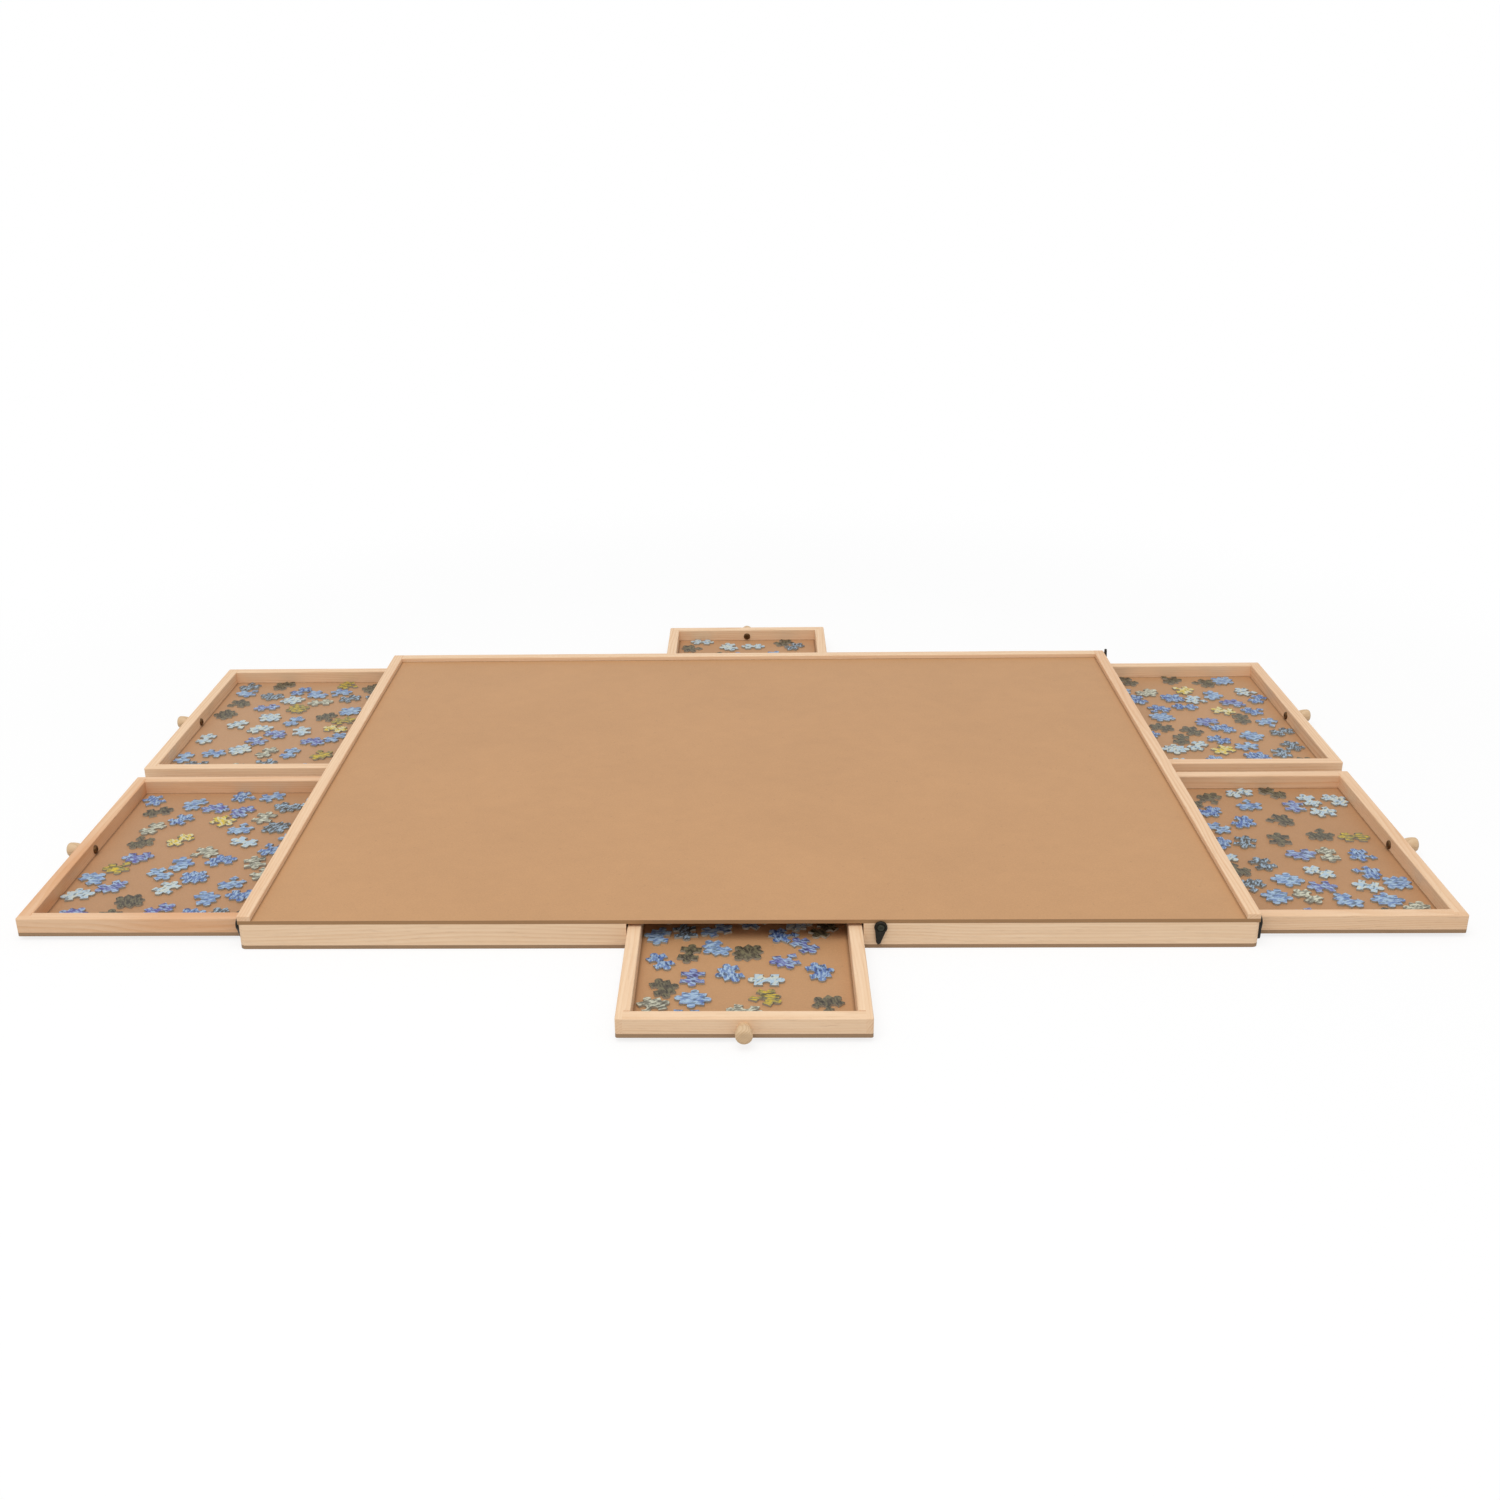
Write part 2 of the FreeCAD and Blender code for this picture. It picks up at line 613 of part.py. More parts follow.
def write_nodes():
    os.makedirs("parts", exist_ok=True)
    for node in nodes:
        node.Shape.exportStep(f"parts/{node.Label}.step")


fill_sheet()
make_model()
check_model()
write_nodes()
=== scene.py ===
import json
import math
import random
import bmesh
import bpy
from mathutils import Matrix, Vector
from mathutils.bvhtree import BVHTree


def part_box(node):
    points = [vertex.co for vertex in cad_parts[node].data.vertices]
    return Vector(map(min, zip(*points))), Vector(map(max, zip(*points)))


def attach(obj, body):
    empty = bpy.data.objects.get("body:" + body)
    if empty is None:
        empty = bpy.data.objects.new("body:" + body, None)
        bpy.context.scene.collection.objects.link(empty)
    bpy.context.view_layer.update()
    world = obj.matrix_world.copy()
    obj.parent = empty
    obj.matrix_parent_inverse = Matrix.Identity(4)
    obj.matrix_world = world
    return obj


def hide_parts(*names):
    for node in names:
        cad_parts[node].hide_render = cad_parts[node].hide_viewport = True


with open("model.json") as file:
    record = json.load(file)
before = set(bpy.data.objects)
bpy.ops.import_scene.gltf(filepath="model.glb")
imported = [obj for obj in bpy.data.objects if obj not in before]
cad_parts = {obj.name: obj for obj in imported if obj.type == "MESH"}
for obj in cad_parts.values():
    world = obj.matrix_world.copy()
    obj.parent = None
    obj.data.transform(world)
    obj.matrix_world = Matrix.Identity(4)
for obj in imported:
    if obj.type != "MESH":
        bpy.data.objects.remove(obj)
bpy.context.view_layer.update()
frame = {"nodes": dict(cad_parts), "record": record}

bl_info = {
    "name": "Puzzle storage case",
    "version": (1, 0, 0),
    "blender": (4, 5, 0),
    "location": "View3D > Sidebar > Puzzle case",
    "description": "Dresses a jigsaw puzzle storage case: boards, knobs, screws, latches, stage",
    "category": "Object",
}

# Lengths are in metres. X runs to the right, Y to the back, Z up.
JOINTS = {joint["child"]: joint for joint in frame["record"]["behaviour"]["joints"]}
DRAWERS = [name for name in JOINTS if name.endswith("_drawer")]
LATCHES = [name for name in JOINTS if name.endswith("_latch")]
NODES = frame["nodes"]
CASE_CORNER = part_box("base_board")[1]
UP = Vector((0, 0, 1))
# Lengths that differ by less than this count as equal.
CLOSE = 0.0001

# Boards of the case: the way the grain runs, 0 for X and 1 for Y, and the share of heartwood.
CASE_PINE = (
    ("front_rails", 0, 0.0),
    ("back_rails", 0, 0.1),
    ("drawer_guides", 1, 0.0),
    ("side_dividers", 0, 0.1),
    ("middle_stop", 0, 0.0),
    ("rim_left", 1, 0.25),
    ("rim_right", 1, 0.35),
    ("rim_back", 0, 0.1),
)
# Walls of a drawer, with 1 for the two whose grain runs across its slide.
DRAWER_WALLS = (("left_side", 0), ("right_side", 0), ("front_board", 1), ("back_board", 1))
# Each drawer's share of heartwood, and the colour of its floor as it is seen.
DRAWER_TONES = {
    "front_drawer": (0.10, (193, 147, 104)),
    "back_drawer": (0.05, (192, 147, 107)),
    "left_front_drawer": (0.80, (186, 142, 104)),
    "left_back_drawer": (0.18, (190, 148, 111)),
    "right_front_drawer": (0.30, (184, 139, 99)),
    "right_back_drawer": (0.22, (190, 146, 106)),
}
# Boards with one large warm patch: its middle and radius, and how far it bends the rings.
HEARTS = {"left_front_drawer_right_side": (Vector((-0.485, -0.326, 0.016)), 0.11)}
HEART_BEND = 0.004
# Seeds: of the first case board, before the first drawer's boards, and from drawer to drawer.
CASE_SEED, DRAWER_SEED, SEED_STEP = 3, 20, 5
# Where the pith of a board's log lies: beside its middle, below it, and how much both vary.
PITH_BESIDE, PITH_BELOW, PITH_SPREAD = 0.030, 0.045, 0.020
KNOB_PITH = (0.012, 0.012, -0.011)
# Features of the grain per metre, along it and across it.
KNOB_GRAIN = (40.0, 900.0)
PINE_GRAIN = {
    "drift": (2.2, 9.0),
    "ripple": (9.0, 60.0),
    "contrast": (1.5, 140.0),
    "fibre": (26.0, 1300.0),
    "streak": (7.0, 330.0),
    "patch": (2.4, 22.0),
    "pore": (60.0, 2400.0),
}

# Faces round the turned pieces, and rings in their rounded parts.
SCREW_SIDES, LATCH_SIDES, DISH_SIDES, TAB_SIDES = 48, 96, 64, 12
KNOB_STEPS, DOME_STEPS, LATCH_STEPS = 8, 7, 4
# The dimple in a knob's crown: the depth and radius of each ring.
KNOB_DIMPLE = ((0.00002, 0.0016), (0.00016, 0.0009), (0.0002, 0.0003))
# Shares of a screw head's radius: its foot, and half the width and length of its cross.
HEAD_FOOT, CROSS_HALF_WIDTH, CROSS_HALF_LENGTH = 0.985, 0.16, 0.62
# Shares of a screw head's rise: its upright edge, the depth of its cross, the shank in it.
HEAD_EDGE, CROSS_DEPTH, SHANK_IN_HEAD = 0.12, 0.6, 0.3
# The foot of the cross as a share of its top.
CROSS_TAPER = 0.55
# Shares of a shank's radius: the end of its tip, and the shoulder where the tip starts.
TIP_END, TIP_SHOULDER = 0.2, 0.35
# How far a screw is turned, in degrees. Each screw of a latch is turned further by a step.
KNOB_SCREW_TURN, LATCH_SCREW_TURN, LATCH_SCREW_STEP = 20, 15, 37
# How much the hollow in a latch opens upwards, as a share of its radius.
DISH_FLARE = 0.2

# Cuts of the puzzle pieces: for the right, back, left and front side, how far the middle of
# a round tab stands out, in tab radii. Below 0 it is a socket.
CUTS = (
    (0.65, -0.55, 0.70, -0.60),
    (0.60, 0.70, -0.55, -0.65),
    (0.70, 0.60, 0.65, -0.50),
    (-0.60, 0.65, -0.55, 0.70),
    (0.65, 0.70, 0.60, 0.65),
)
# Prints: the ground, the strokes on it, and how often the print comes up.
PRINTS = (
    ("deep_blue", "pale_blue", 5),
    ("pale_blue", "cream", 3),
    ("pale_blue", "deep_blue", 5),
    ("violet", "pale_blue", 2),
    ("slate", "moss", 5),
    ("slate", "pale_blue", 2),
    ("cream", "slate", 2),
    ("moss", "yellow", 1),
    ("yellow", "cream", 1),
)
# How far the strokes turn from one print to the next, in radians.
STROKE_TURN = 0.7
TRIES_PER_PIECE = 60
# Points of a puzzle piece that lie closer than this are merged.
WELD = 0.000005

WHITE = (1.0, 1.0, 1.0, 1.0)
RAYS_THAT_SHOW = ("Is Camera Ray", "Is Glossy Ray", "Is Transmission Ray")


def linear(red, green, blue):
    """A colour as it is seen, 0 to 255, in Blender's own linear values."""
    shares = [part / 255 for part in (red, green, blue)]
    return tuple(x / 12.92 if x <= 0.04045 else ((x + 0.055) / 1.055) ** 2.4 for x in shares)


def shade(colour, share):
    """A colour made darker, or lighter where the share is above 1."""
    return tuple(min(1.0, part * share) for part in colour)


# --- Settings ---


def number_setting(name, description, default, **more):
    return bpy.props.FloatProperty(name=name, description=description, default=default, **more)


def length_setting(name, description, default):
    return number_setting(name, description, default, min=0.0, unit="LENGTH", precision=5)


def share_setting(name, description, default):
    return number_setting(name, description, default, min=0.0, max=1.0, subtype="FACTOR")


def place_setting(name, description, default):
    return bpy.props.FloatVectorProperty(
        name=name, description=description, default=default, subtype="TRANSLATION", unit="LENGTH"
    )


def colour_setting(name, description, *seen):
    """A colour, given as it is seen: red, green and blue from 0 to 255."""
    return bpy.props.FloatVectorProperty(
        name=name, description=description, default=linear(*seen), min=0.0, max=1.0, subtype="COLOR"
    )


class BoardSettings(bpy.types.PropertyGroup):
    """Colours and grain of the wooden parts."""

    pine_pale: colour_setting("Early wood", "Pale part of a growth ring", 247, 216, 181)
    pine_dark: colour_setting("Late wood", "Dark part of a growth ring", 222, 176, 130)
    pine_warm: colour_setting("Heartwood", "Warm patches in some boards", 214, 150, 98)
    pine_pore: colour_setting("Pores", "Short dark lines along the grain", 150, 98, 58)
    deck: colour_setting("Deck hardboard", "Face of the puzzle board", 198, 151, 106)
    deck_edge: colour_setting("Deck edge", "Sawn edge of the puzzle board", 164, 126, 88)
    base: colour_setting("Base hardboard", "Face of the base board", 176, 138, 102)
    edge: colour_setting("Hardboard edge", "Sawn edge of base and floors", 163, 132, 102)
    ring_width: length_setting("Ring width", "Usual width of a growth ring", 0.0023)
    ring_drift: length_setting("Ring drift", "How far rings wander along a board", 0.011)
    ring_ripple: length_setting("Ring ripple", "How far rings waver over a short way", 0.0008)
    # The foot line is painted shade: a dark line at the foot of each wall and rim, in place of a
    # contact shadow.
    foot_shade_width: length_setting("Foot line", "Width of the dark line at a wall's foot", 0.0030)


class KnobSettings(bpy.types.PropertyGroup):
    """The turned drawer knobs."""

    foot_radius: length_setting("Foot radius", "Radius at the drawer", 0.0055)
    head_radius: length_setting("Head radius", "Radius at the crown", 0.0070)
    foot_length: length_setting("Foot length", "Straight part at the drawer", 0.0015)
    head_length: length_setting("Head length", "Part from the flare's end to the crown", 0.0046)
    round_radius: length_setting("Rounding", "Rounded edge of the crown", 0.0032)
    sides: bpy.props.IntProperty(
        name="Sides", description="Faces round a knob", default=64, min=16
    )
    pale: colour_setting("Pale wood", "Pale part of a growth ring", 226, 196, 158)
    dark: colour_setting("Dark wood", "Dark part of a growth ring", 198, 163, 121)
    ring_width: length_setting("Ring width", "Width of a growth ring", 0.0016)
    tool_width: length_setting("Tool marks", "Width of a mark of the turning tool", 0.00055)


class ScrewSettings(bpy.types.PropertyGroup):
    """Round-head screws with a crossed slot."""

    knob_head: length_setting("Knob screw head", "Radius of the head in a drawer", 0.0043)
    knob_rise: length_setting("Knob screw rise", "Height of the head in a drawer", 0.0020)
    knob_shank: length_setting("Knob screw shank", "Radius of the shank", 0.00175)
    latch_head: length_setting("Latch screw head", "Radius of the head on a latch", 0.0032)
    latch_rise: length_setting("Latch screw rise", "Height of the head on a latch", 0.0010)
    latch_shank: length_setting("Latch screw shank", "Radius of the shank", 0.0015)
    latch_sunk: length_setting("Latch screw depth", "How far the head is sunk", 0.0012)
    latch_bite: length_setting("Latch screw bite", "Length of shank inside the case", 0.012)
    point: length_setting("Point", "Length of the pointed end", 0.0012)
    tip: length_setting("Tip", "Length of the blunt tip of the point", 0.0003)
    colour: colour_setting("Bronze", "Plating of the knob screws", 96, 70, 44)
    # The latch screws' black is set lighter than the latches' own, as a painted highlight on their
    # heads.
    latch_colour_and_highlight: colour_setting("Black", "Paint of the latch screws", 54, 56, 46)


class LatchSettings(bpy.types.PropertyGroup):
    """The turn buttons."""

    head_radius: length_setting("Head radius", "Radius about the pivot", 0.0057)
    neck: length_setting("Neck", "Pivot to where the head runs into the arm", 0.0037)
    tip_width: length_setting("Tip width", "Half the arm's width where its tip starts", 0.0021)
    reach: length_setting("Reach", "Pivot to the end of the tip", 0.0163)
    thick: length_setting("Thickness", "Thickness of the plate", 0.0025)
    rounding: length_setting("Rounding", "Rounded outer edge of the plate", 0.0007)
    dish: length_setting("Dish", "Depth of the hollow round the screw", 0.0010)
    dish_radius: length_setting("Dish radius", "Radius of the hollow round the screw", 0.0042)
    bore: length_setting("Bore", "Radius of the hole", 0.00158)
    colour: colour_setting("Black", "Paint of the latches", 30, 27, 19)


class PieceSettings(bpy.types.PropertyGroup):
    """The loose puzzle pieces that lie in the drawers."""

    length: length_setting("Length", "Body without tabs, long way", 0.0209)
    width: length_setting("Width", "Body without tabs, short way", 0.0180)
    thick: length_setting("Thickness", "Thickness of the card", 0.0019)
    tab: length_setting("Tab", "Radius of a tab", 0.0035)
    waist: share_setting("Waist", "Length and width left halfway along a side", 0.93)
    swell: number_setting("Swell", "How much larger a piece counts next to others", 1.04)
    room: number_setting("Room", "Floor for each piece, in square millimetres", 1300.0, min=1000.0)
    seed: bpy.props.IntProperty(name="Seed", description="Picks how the pieces lie", default=3)
    deep_blue: colour_setting("Deep blue", "Print", 74, 102, 164)
    pale_blue: colour_setting("Pale blue", "Print", 168, 194, 215)
    violet: colour_setting("Violet", "Print", 90, 88, 156)
    slate: colour_setting("Slate", "Print", 70, 62, 50)
    moss: colour_setting("Moss", "Print", 120, 112, 84)
    cream: colour_setting("Cream", "Print", 210, 210, 188)
    yellow: colour_setting("Yellow", "Print", 216, 186, 36)
    card: colour_setting("Card", "Cut edge of the card", 176, 170, 156)


class StageSettings(bpy.types.PropertyGroup):
    """Camera, lamp, sky and floor."""

    camera_place: place_setting("Camera", "Where it stands", (0.00971, -1.58725, 0.70917))
    camera_turn: bpy.props.FloatVectorProperty(
        name="Turn", description="Camera tilt down, turn to the right and roll to the left",
        default=tuple(math.radians(angle) for angle in (22.721, -1.681, -0.957)), unit="ROTATION"
    )
    lens: number_setting("Lens", "Focal length in millimetres", 39.036)
    shift: number_setting("Shift", "Sideways shift of the lens", 0.0261)
    sky: number_setting("Sky", "Strength of the even light", 0.62)
    lamp: number_setting("Lamp", "Power of the overhead lamp", 70.0, unit="POWER")
    lamp_place: place_setting("Lamp place", "Where the lamp hangs", (-0.4, -1.5, 3.6))
    lamp_size: length_setting("Lamp size", "Side of the square lamp", 3.0)
    floor_size: length_setting("Floor size", "Side of the square floor", 16.0)
    floor_gap: length_setting("Floor gap", "How far the floor lies below the case", 0.0002)
    floor_bounce: share_setting("Floor bounce", "Light that the floor throws back", 0.72)
    floor_shade: share_setting("Floor shade", "Part of its shading that the floor shows", 0.2)
    shade_reach: length_setting("Shade reach", "How far out the floor shows its shading", 1.3)


GROUPS = {
    "case_boards": BoardSettings,
    "case_knobs": KnobSettings,
    "case_screws": ScrewSettings,
    "case_latches": LatchSettings,
    "case_pieces": PieceSettings,
    "case_stage": StageSettings,
}


# --- Shader nodes ---


class Value:
    """A number that changes over a surface. Arithmetic on it adds Math nodes."""

    def __init__(self, finish, socket):
        self.finish = finish
        self.socket = socket

    def math(self, operation, *others):
        inputs = dict(enumerate((self, *others)))
        return self.finish.node("ShaderNodeMath", {"operation": operation}, inputs)

    def __add__(self, other):
        return self.math("ADD", other)

    __radd__ = __add__

    def __sub__(self, other):
        return self.math("SUBTRACT", other)

    def __rsub__(self, other):
        return self.finish.node("ShaderNodeMath", {"operation": "SUBTRACT"}, {0: other, 1: self})

    def __mul__(self, other):
        return self.math("MULTIPLY", other)

    __rmul__ = __mul__

    def __truediv__(self, other):
        return self.math("DIVIDE", other)

    def fraction(self):
        return self.math("FRACT")

    def size(self):
        return self.math("ABSOLUTE")

    def between(self, low, high):
        """0 below low, 1 above high, and smooth between them."""
        settings = {"interpolation_type": "SMOOTHSTEP", "clamp": True}
        inputs = {"Value": self, "From Min": low, "From Max": high}
        return self.finish.node("ShaderNodeMapRange", settings, inputs)

    def within(self, reach, core=0.15):
        """1 up to a share of the reach, its core, and fading to 0 at the reach itself."""
        return 1.0 - self.between(reach * core, reach)


class Shader:
    """The node tree of a material or a world, built up node by node."""

    def __init__(self, owner):
        owner.use_nodes = True
        self.tree = owner.node_tree
        self.tree.nodes.clear()

    def node(self, kind, settings, inputs, output=0):
        """Add a node, with its settings first, then its sockets. Gives one output."""
        made = self.tree.nodes.new(kind)
        for key, setting in settings.items():
            setattr(made, key, setting)
        for key, given in inputs.items():
            if isinstance(given, Value):
                self.tree.links.new(given.socket, made.inputs[key])
            else:
                made.inputs[key].default_value = given
        return Value(self, made.outputs[output])

    def seen(self):
        """1 for the rays that show a background: those of the camera, of gloss and of glass."""
        rays = [self.node("ShaderNodeLightPath", {}, {}, kind) for kind in RAYS_THAT_SHOW]
        return (rays[0] + rays[1] + rays[2]).math("MINIMUM", 1.0)

    def output(self, kind, surface):
        last = self.tree.nodes.new(kind)
        self.tree.links.new(surface.socket, last.inputs["Surface"])


class Finish(Shader):
    """The surface of a piece."""

    def __init__(self, name):
        self.material = bpy.data.materials.new(name)
        super().__init__(self.material)
        self.place = self.node("ShaderNodeTexCoord", {}, {}, "Object")

    def moved(self, scale, offset=(0.0, 0.0, 0.0)):
        """Object coordinates, moved and then stretched."""
        shift = tuple(part * size for part, size in zip(offset, scale))
        inputs = {"Vector": self.place, "Location": shift, "Scale": scale}
        return self.node("ShaderNodeMapping", {}, inputs)

    def away_from(self, point, ways=(1.0, 1.0, 1.0)):
        """Distance from a point, counted only along the ways that are 1."""
        inputs = {0: self.moved(ways, tuple(-part for part in point))}
        return self.node("ShaderNodeVectorMath", {"operation": "LENGTH"}, inputs, "Value")

    def noise(self, scale, offset=(0.0, 0.0, 0.0), detail=3.0, roughness=0.55):
        """Cloudy variation from 0 to 1. Scale is in features per metre along X, Y and Z."""
        place = self.moved(scale, offset)
        sockets = {"Vector": place, "Scale": 1.0, "Detail": detail, "Roughness": roughness}
        return self.node("ShaderNodeTexNoise", {}, sockets)

    def even_noise(self, scale, offset=(0.0, 0.0, 0.0), detail=3.0):
        """Cloudy variation with as many features every way."""
        return self.noise((scale, scale, scale), offset, detail)

    def mix(self, share, first, second):
        """Two colours mixed: share 0 gives the first."""
        settings = {"data_type": "RGBA", "clamp_factor": True}
        pair = [given if isinstance(given, Value) else (*given, 1.0) for given in (first, second)]
        return self.node("ShaderNodeMix", settings, {0: share, 6: pair[0], 7: pair[1]}, 2)

    def foot_shade_of(self, free):
        """Painted shade: 1 at the edges of a rectangle in X and Y, fading to 0 inside it and
        outside it.
        """
        nearest = None
        for way, edges in enumerate(free):
            level = self.node("ShaderNodeSeparateXYZ", {}, {"Vector": self.place}, way)
            for edge in edges:
                away = (level - edge).size()
                nearest = away if nearest is None else nearest.math("MINIMUM", away)
        return nearest.within(bpy.context.scene.case_boards.foot_shade_width)

    def facing(self, direction):
        """1 where the surface faces along or against a direction, 0 where it is side on."""
        normal = self.node("ShaderNodeNewGeometry", {}, {}, "Normal")
        inputs = {0: normal, 1: direction}
        dot = self.node("ShaderNodeVectorMath", {"operation": "DOT_PRODUCT"}, inputs, "Value")
        return dot.size()

    def on_edge(self):
        """1 on the upright edges of a flat sheet, 0 on its faces."""
        return 1.0 - self.facing((0.0, 0.0, 1.0)).between(0.3, 0.8)

    def surface(self, colour, roughness, height, depth, **constants):
        """Join everything in the surface shader. Depth is the height of the relief."""
        relief = {"Strength": 1.0, "Distance": depth, "Height": height}
        bump = self.node("ShaderNodeBump", {}, relief)
        sockets = {"Base Color": colour, "Roughness": roughness, "Normal": bump}
        sockets.update({key.replace("_", " "): value for key, value in constants.items()})
        shader = self.node("ShaderNodeBsdfPrincipled", {}, sockets)
        self.output("ShaderNodeOutputMaterial", shader)
        return self.material


# --- Finishes ---


def stretched(lengthwise, features):
    """Features per metre along X, Y and Z, from those along the grain and across it."""
    along, across = features
    return tuple(along if part > 0.5 else across for part in lengthwise)


def late_wood(rings, starts, full):
    """Dark part of each growth ring: it starts and is full at given shares of the ring."""
    ring = rings.fraction()
    return ring.between(starts, full) * (1.0 - ring.between(0.92, 1.0))


def pine(name, along, box, seed, warm=0.0, heart=None):
    """Planed pine. Rings run along a board in 3-D, so its ends show end grain.

    Along is 0 for a board along X and 1 for one along Y. Seed picks where the
    board was sawn from its log. Warm is how much heartwood shows, and heart is
    the place and radius of one large warm patch.
    """
    boards = bpy.context.scene.case_boards
    finish = Finish(name)
    lengthwise = (1.0, 0.0, 0.0) if along == 0 else (0.0, 1.0, 0.0)
    across = tuple(1.0 - part for part in lengthwise)
    middle = (box[0] + box[1]) / 2
    # Unequal steps keep the boards of neighbouring seeds apart in the log.
    shift = Vector((math.sin(seed * 2.4), math.cos(seed * 1.7), math.sin(seed * 3.1)))
    beside = PITH_BESIDE + PITH_SPREAD * shift.x
    pith = middle + Vector((beside, beside, -PITH_BELOW - PITH_SPREAD * shift.z))

    def grain(feature, spread=3.0, detail=2.0):
        scale = stretched(lengthwise, PINE_GRAIN[feature])
        return finish.noise(scale, tuple(shift * spread), detail)

    drift = (grain("drift") - 0.5) * (2.0 * boards.ring_drift)
    ripple = (grain("ripple") - 0.5) * (2.0 * boards.ring_ripple)
    path = finish.away_from(pith, across) + drift + ripple
    glow = None
    if heart:
        centre, radius = heart
        glow = finish.away_from(centre).within(radius)
        path = path + glow * HEART_BEND
    late = late_wood(path / boards.ring_width, 0.25, 0.92)
    contrast = grain("contrast").between(0.30, 0.75)
    fibre = grain("fibre")
    streak = grain("streak", detail=3.0)
    rings = late * (0.12 + contrast * 0.38)
    tone = rings + (streak - 0.5) * 0.6 + (fibre - 0.5) * 0.45 + 0.16
    colour = finish.mix(tone, boards.pine_pale, boards.pine_dark)
    patch = grain("patch", spread=7.0).between(0.42, 0.68)
    colour = finish.mix((0.35 + patch * 0.65) * warm, colour, boards.pine_warm)
    if glow:
        colour = finish.mix(glow * (0.30 + streak * 0.30), colour, boards.pine_warm)
    end = finish.facing(lengthwise).between(0.6, 0.9)
    colour = finish.mix(end * 0.10, colour, boards.pine_warm)
    pore = grain("pore", detail=1.0).between(0.66, 0.78)
    colour = finish.mix(pore * 0.22, colour, boards.pine_pore)
    roughness = 0.46 + late * 0.08 + fibre * 0.10 + end * 0.12
    height = fibre * 0.5 + streak * 0.3 - late * 0.35 - pore * 0.6
    return finish.surface(colour, roughness, height, depth=0.00012, Specular_IOR_Level=0.4)


def hardboard(name, face, edge, seed, free=None):
    """Smooth pressed hardboard: a soft cloudy face with fibres, and a sawn edge of thin layers.

    Free holds the lowest and highest X and Y of the face that walls leave free.
    A thin dark line of painted shade runs round it, at their feet, where contact shadow falls.
    """
    finish = Finish(name)
    offset = (seed * 1.3, seed * 0.7, seed * 0.4)
    crossed = (offset[0] + 2.0, *offset[1:])
    cloud = finish.even_noise(7.0, offset, detail=4.0)
    blotch = finish.even_noise(55.0, offset)
    fibre = finish.noise((900.0, 420.0, 900.0), offset, detail=2.0, roughness=0.7)
    cross_fibre = finish.noise((420.0, 900.0, 900.0), crossed, detail=2.0, roughness=0.7)
    fleck = finish.even_noise(260.0, offset, detail=1.0).between(0.70, 0.80)
    clouds = (cloud - 0.5) * 0.5 + (blotch - 0.5) * 0.35
    tone = clouds + (fibre - 0.5) * 0.55 + (cross_fibre - 0.5) * 0.55 + 0.45
    colour = finish.mix(tone, shade(face, 1.10), shade(face, 0.84))
    colour = finish.mix(fleck * 0.25, colour, shade(face, 0.6))
    if free:
        # Painted shade: the face darkens at the feet of the walls, where contact shadow falls.
        colour = finish.mix(finish.foot_shade_of(free) * 0.5, colour, shade(face, 0.25))
    side = finish.on_edge()
    layer = finish.noise((18.0, 18.0, 1500.0), offset, detail=2.0)
    sawn = finish.mix((layer - 0.25) * 1.1, shade(edge, 1.12), shade(edge, 0.7))
    colour = finish.mix(side, colour, sawn)
    roughness = 0.56 + (fibre - 0.5) * 0.12 + side * 0.2
    height = fibre * 0.4 + cross_fibre * 0.4 + layer * side * 0.8
    return finish.surface(colour, roughness, height, depth=0.00008, Specular_IOR_Level=0.3)


def turned_wood(name, axis, middle):
    """Wood turned about an axis: end grain on the crown, long grain round it, tool marks."""
    knobs = bpy.context.scene.case_knobs
    finish = Finish(name)
    lengthwise = tuple(abs(part) for part in axis)
    across = tuple(1.0 - part for part in lengthwise)
    pith = tuple(part + away for part, away in zip(middle, KNOB_PITH))
    apart = tuple(-part for part in middle)
    fibre = finish.noise(stretched(lengthwise, KNOB_GRAIN), apart, detail=2.0)
    path = finish.away_from(pith, across) + (fibre - 0.5) * 0.0004
    late = late_wood(path / knobs.ring_width, 0.3, 0.9)
    tool = (finish.away_from(middle, across) / knobs.tool_width).fraction()
    end = finish.facing(lengthwise).between(0.55, 0.95)
    tone = late * 0.4 + (fibre - 0.5) * 0.7 + end * 0.20 + 0.25
    colour = finish.mix(tone, knobs.pale, knobs.dark)
    roughness = 0.42 + fibre * 0.12 + end * 0.1
    height = fibre * 0.6 + tool * end * 0.3
    return finish.surface(colour, roughness, height, depth=0.0001, Specular_IOR_Level=0.45)


def black_paint(name, colour):
    """Black paint on cast metal: a little orange peel, and bare spots where fingers rub."""
    finish = Finish(name)
    peel = finish.even_noise(1400.0, detail=2.0)
    rub = finish.even_noise(260.0).between(0.58, 0.74)
    worn = tuple(part * 2.6 + 0.01 for part in colour)
    paint = finish.mix(rub * 0.4 + (peel - 0.5) * 0.3, colour, worn)
    roughness = 0.40 + peel * 0.12 + rub * 0.1
    return finish.surface(paint, roughness, peel, depth=0.00003, Specular_IOR_Level=0.22)


def plated_metal(name, colour):
    """Dark bronze plating with brighter rubbed spots."""
    finish = Finish(name)
    grain = finish.even_noise(2600.0, detail=2.0)
    rub = finish.even_noise(420.0).between(0.50, 0.72)
    plating = finish.mix(rub * 0.7, colour, shade(colour, 2.4))
    roughness = 0.30 + grain * 0.14 + (1.0 - rub) * 0.14
    return finish.surface(plating, roughness, grain, depth=0.00002, Metallic=0.9)


